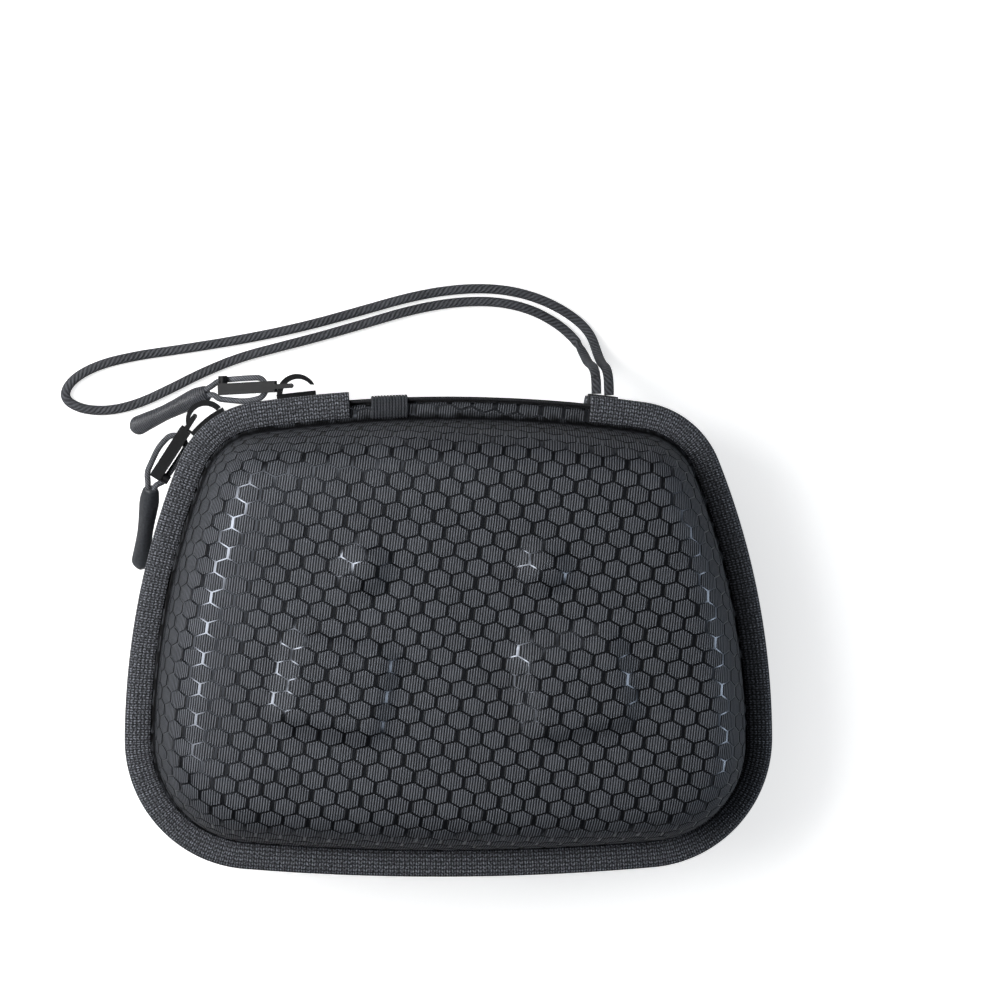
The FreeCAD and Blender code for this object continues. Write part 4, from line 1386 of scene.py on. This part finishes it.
@dataclass
class Grip:
    """Moulded rubber grip: rounded sections along its axis, waisted, flat or ridged on top."""

    name: str
    root: Triple
    axis: Triple
    power: float
    body: Body
    length: float = 31.0
    width: float = 5.8
    waist: float = 4.6
    thick: float = 4.4
    end_thick: float = 3.2
    tip_share: float = 0.1

    def surface(self, finish: bpy.types.Material) -> bpy.types.Object:
        """Sections from the cord's end to the tip, where they shrink along a quarter circle.

        Args:
            finish: the rubber.

        Returns:
            The new object.
        """
        tip = 1.0 - 0.12 * (1.0 - np.sin(np.linspace(0.15, 1.55, 9)))
        share = np.concatenate([[0.0, 0.02], np.linspace(0.06, 0.88, 20), tip])
        past = np.maximum(share - (1.0 - self.tip_share), 0.0) / self.tip_share
        close = np.sqrt(np.clip(1.0 - past**2, 0.0, 1.0))
        open_end = np.interp(share, [0.0, 0.02, 0.12], [0.72, 0.82, 1.0])
        widths = [self.width, 0.99 * self.width, 0.85 * self.width, self.waist, 0.88 * self.width, self.width]
        wide = 0.5 * np.interp(share, [0.0, 0.2, 0.4, 0.55, 0.72, 0.9], widths) * close * open_end
        heights = [self.thick, self.thick, self.end_thick]
        high = 0.5 * np.interp(share, [0.0, 0.12, 1.0], heights) * close**0.6 * open_end
        grow = np.linspace(0.0, 2.0 * math.pi, 20, endpoint=False)
        flat, rise = superround(grow, self.power)
        along = np.array(self.axis)
        across = np.cross(UP, along)
        across /= np.linalg.norm(across)
        up = np.cross(along, across)
        middle = np.array(self.root) + share[:, None] * self.length * along
        sideways = wide[:, None, None] * flat[:, None] * across
        upwards = high[:, None, None] * rise[:, None] * up
        points = middle[:, None] + sideways + upwards
        rows, cols = points.shape[:2]
        quads = grid_quads(rows, cols, wrap_cols=True, flip=True)
        fan = cap_fan(cols)
        tris = np.concatenate([fan[:, ::-1], fan + (rows - 1) * cols])
        uv = grid_uv(share * self.length, 2.5 * grow)
        return Surface(f"{self.name}_moulded", points.reshape(-1, 3), quads, tris, uv).build(
            finish, self.body, (self.name,)
        )


def smooth_path(name: str, route: Sequence[Triple]) -> np.ndarray:
    """Points of the smooth spline whose control points are a route.

    Args:
        name: name of the passing curve.
        route: control points in millimetres.

    Returns:
        Points as an (n, 3) array in millimetres.
    """
    curve = bpy.data.curves.new(name, "CURVE")
    curve.dimensions = "3D"
    spline = curve.splines.new("NURBS")
    spline.points.add(len(route) - 1)
    spline.points.foreach_set("co", np.array([(*p, 1.0) for p in route], dtype=np.float32).ravel())
    spline.order_u = 3
    spline.use_endpoint_u = True
    spline.resolution_u = 12
    obj = bpy.data.objects.new(name, curve)
    mesh = bpy.data.meshes.new_from_object(obj)
    found = np.zeros(len(mesh.vertices) * 3, dtype=np.float32)
    mesh.vertices.foreach_get("co", found)
    bpy.data.objects.remove(obj)
    bpy.data.curves.remove(curve)
    bpy.data.meshes.remove(mesh)
    return found.reshape(-1, 3).astype(float)


@dataclass(frozen=True)
class Lamp:
    """Soft area lamp: its middle, the point that it faces, its two edges, watts, and the beam in degrees."""

    name: str
    place: Triple
    aim: Triple
    size: tuple[float, float]
    power: float
    tint: Triple = (1.0, 1.0, 1.0)
    spread: float = 180.0

    def hang(self) -> None:
        """Put the lamp into the scene."""
        data = bpy.data.lights.new(self.name, "AREA")
        data.shape = "RECTANGLE"
        data.size, data.size_y = self.size
        data.energy = self.power
        data.color = self.tint
        data.spread = math.radians(self.spread)
        obj = bpy.data.objects.new(self.name, data)
        obj.location = self.place
        obj.rotation_euler = (Vector(self.aim) - Vector(self.place)).to_track_quat("-Z", "Y").to_euler()
        bpy.context.scene.collection.objects.link(obj)


@dataclass
class Studio:
    """Camera, lights and floor, in metres."""

    lens: float = 87.4
    place: Triple = (-0.045, 0.070, 0.741)
    aim: Triple = (-0.030, 0.060, 0.041)
    shift: tuple[float, float] = (0.155, -0.076)
    lamps: tuple[Lamp, ...] = (
        Lamp("left_lamp", (-0.38, 0.10, 0.38), (-0.15, 0.03, 0.06), (0.34, 0.46), 0.5, spread=55.0),
        Lamp("corner_lamp", (-0.20, 0.40, 0.46), (-0.05, 0.06, 0.05), (0.3, 0.3), 0.5),
        Lamp("right_lamp", (0.60, -0.06, 0.20), (0.08, 0.0, 0.04), (0.4, 0.12), 0.85, (0.82, 0.91, 1.0)),
    )
    surroundings: Colour = (0.03, 0.031, 0.034, 1.0)
    floor_half: float = 3.0
    floor_grey: float = 0.86
    glow_from: tuple[float, float] = (0.09, 0.2)
    glow: tuple[float, float] = (0.6, 1.0)

    def camera(self) -> None:
        """Camera over the case, its long way along X."""
        data = bpy.data.cameras.new("camera")
        data.lens = self.lens
        data.sensor_width = 36.0
        data.shift_x, data.shift_y = self.shift
        obj = bpy.data.objects.new("camera", data)
        bpy.context.scene.collection.objects.link(obj)
        place = Vector(self.place)
        back = (place - Vector(self.aim)).normalized()
        right = Vector((0.0, 1.0, 0.0)).cross(back).normalized()
        up = back.cross(right)
        turn = Matrix((right, up, back)).transposed().to_4x4()
        obj.matrix_world = Matrix.Translation(place) @ turn
        bpy.context.scene.camera = obj

    def lights(self) -> None:
        """Keys from the left and from the top left corner, a cooler fill from the right, dim grey surroundings."""
        for lamp in self.lamps:
            lamp.hang()
        world = bpy.data.worlds.new("surroundings")
        world.use_nodes = True
        world.node_tree.nodes["Background"].inputs[0].default_value = self.surroundings
        bpy.context.scene.world = world

    def floor(self) -> None:
        """Pale floor: it glows for the camera alone, and a little less near the case, so that its shade shows."""
        mesh = bpy.data.meshes.new("floor")
        r = self.floor_half
        mesh.from_pydata([(-r, -r, 0.0), (r, -r, 0.0), (r, r, 0.0), (-r, r, 0.0)], [], [(0, 1, 2, 3)])
        made = bpy.data.materials.new("floor_paper")
        made.use_nodes = True
        w = Wiring(made.node_tree)
        shader = made.node_tree.nodes["Principled BSDF"]
        shader.inputs["Base Color"].default_value = (*[self.floor_grey] * 3, 1.0)
        shader.inputs["Roughness"].default_value = 0.9
        shader.inputs["Specular IOR Level"].default_value = 0.1
        rays = w.add("ShaderNodeLightPath")
        seen = rays.outputs["Is Camera Ray"]
        w.put(shader.inputs["Emission Color"], (1.0, 1.0, 1.0, 1.0))
        place = w.add("ShaderNodeTexCoord").outputs["Object"]
        far = w.add("ShaderNodeVectorMath", operation="LENGTH")
        w.put(far.inputs[0], place)
        glow = w.ramp(far.outputs["Value"], *self.glow_from, *self.glow)
        w.put(shader.inputs["Emission Strength"], w.sum("MULTIPLY", seen, glow))
        mesh.materials.append(made)
        obj = bpy.data.objects.new("floor", mesh)
        bpy.context.scene.collection.objects.link(obj)


def finishes(weaves: Weaves) -> dict[str, bpy.types.Material]:
    """All materials of the case.

    Args:
        weaves: the shared shader groups.

    Returns:
        The materials by name.
    """
    cells, knit, ribs = Pattern.CELLS, Pattern.KNIT, Pattern.RIBS
    made = [
        Finish(
            "shell_fabric", paint(126, 130, 138), paint(2, 2, 3), cells, 0.6,
            specular=0.2, pitch=0.00073, depth=0.00015,
        ),
        Finish("lining_cloth", paint(52, 53, 56), paint(38, 39, 42), roughness=0.9, sheen=0.2),
        Finish("binding_knit", paint(174, 178, 189), paint(8, 9, 11), knit, 0.8, pitch=0.0015, depth=0.0004),
        Finish("zipper_tape", paint(46, 47, 50), paint(22, 22, 24), ribs, 0.8, pitch=0.0007),
        Finish("zipper_coil", paint(34, 35, 37), paint(24, 24, 26), roughness=0.35),
        Finish("thread", paint(98, 101, 108), paint(12, 13, 15), ribs, 0.6, pitch=0.0005, lean=0.6, depth=0.0001),
        Finish("strap_weave", paint(98, 100, 106), paint(10, 10, 12), ribs, 0.7, pitch=0.0012, lean=0.8, depth=0.0003),
        Finish(
            "black_metal", paint(24, 25, 27), paint(17, 18, 20),
            roughness=0.45, specular=0.25, by_uv=False, strength=0.1,
        ),
        Finish("braided_cord", paint(134, 137, 144), paint(6, 6, 8), ribs, 0.7, pitch=0.0008, lean=1.0, by_uv=False),
        Finish("ribbed_rubber", paint(96, 99, 106), paint(10, 10, 12), ribs, 0.3, pitch=0.0007, depth=0.0003),
        Finish("plain_rubber", paint(70, 73, 78), paint(52, 54, 58), roughness=0.45, strength=0.2),
        Finish("anchor_weave", paint(60, 61, 64), paint(26, 27, 29), ribs, 0.8, pitch=0.0008, by_uv=False),
    ]
    return {finish.name: finish.material(weaves) for finish in made}


def dress(frame: dict, name: str, finish: bpy.types.Material, soften: float = 0.0) -> None:
    """Give a CAD node its material.

    Args:
        name: the node.
        finish: its material.
        soften: width of its rounded edges in metres.
    """
    obj = frame["nodes"][name]
    if not obj.material_slots:
        obj.data.materials.append(finish)
    for slot in obj.material_slots:
        slot.material = finish
    if soften:
        edge = obj.modifiers.new("rounded_edge", "BEVEL")
        edge.width = soften
        edge.segments = 2
        edge.limit_method = "ANGLE"
        edge.angle_limit = math.radians(40.0)
    log.info("%s: finish %s", name, finish.name)


def main() -> None:
    """Build the dressed case and its studio."""
    logging.basicConfig(level=logging.INFO)
    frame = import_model()
    studio = Studio()
    studio.camera()
    looks = finishes(Weaves())
    wall, cells = Wall(), Cells()
    rim = Rim(wall.plateau_inset)
    WristStrap(rim, wall).tape(looks["strap_weave"])
    for side, body, relief in ((Side.BACK, Body.BACK_HALF, None), (Side.FRONT, Body.FRONT_HALF, Relief())):
        node = body.value.replace("_half", "_shell")
        shell = HalfShell(side, rim, wall, cells, relief, body, node)
        shell.fabric(looks["shell_fabric"])
        shell.lining(looks["lining_cloth"])
        edging = Edging(side, rim, wall, body)
        edging.tape(looks["binding_knit"])
        edging.web(looks["zipper_tape"])
        edging.teeth(looks["zipper_coil"])
    hinge = Hinge(rim, wall)
    hinge.fold(looks["zipper_tape"])
    hinge.whipping(looks["thread"])
    for name in ("left_slider", "top_slider", "left_pull_tab", "top_pull_tab"):
        dress(frame, name, looks["black_metal"], soften=0.0003)
    for name in ("left_pull_cord", "top_pull_cord"):
        dress(frame, name, looks["braided_cord"])
    left_grip = Grip(
        "left_pull_grip", (-86.411, 41.044, 31.673), (-0.14048, -0.79673, -0.58779), 1.35, Body.LEFT_PULL
    )
    left_grip.surface(looks["plain_rubber"])
    top_grip = Grip("top_pull_grip", (-70.065, 69.053, 30.229), (-0.75136, -0.35037, -0.55919), 0.95, Body.TOP_PULL)
    top_grip.surface(looks["ribbed_rubber"])
    dress(frame, "strap_anchor", looks["anchor_weave"])
    studio.floor()
    studio.lights()
    bpy.context.scene.view_settings.view_transform = "Standard"


if __name__ == "__main__":
    main()
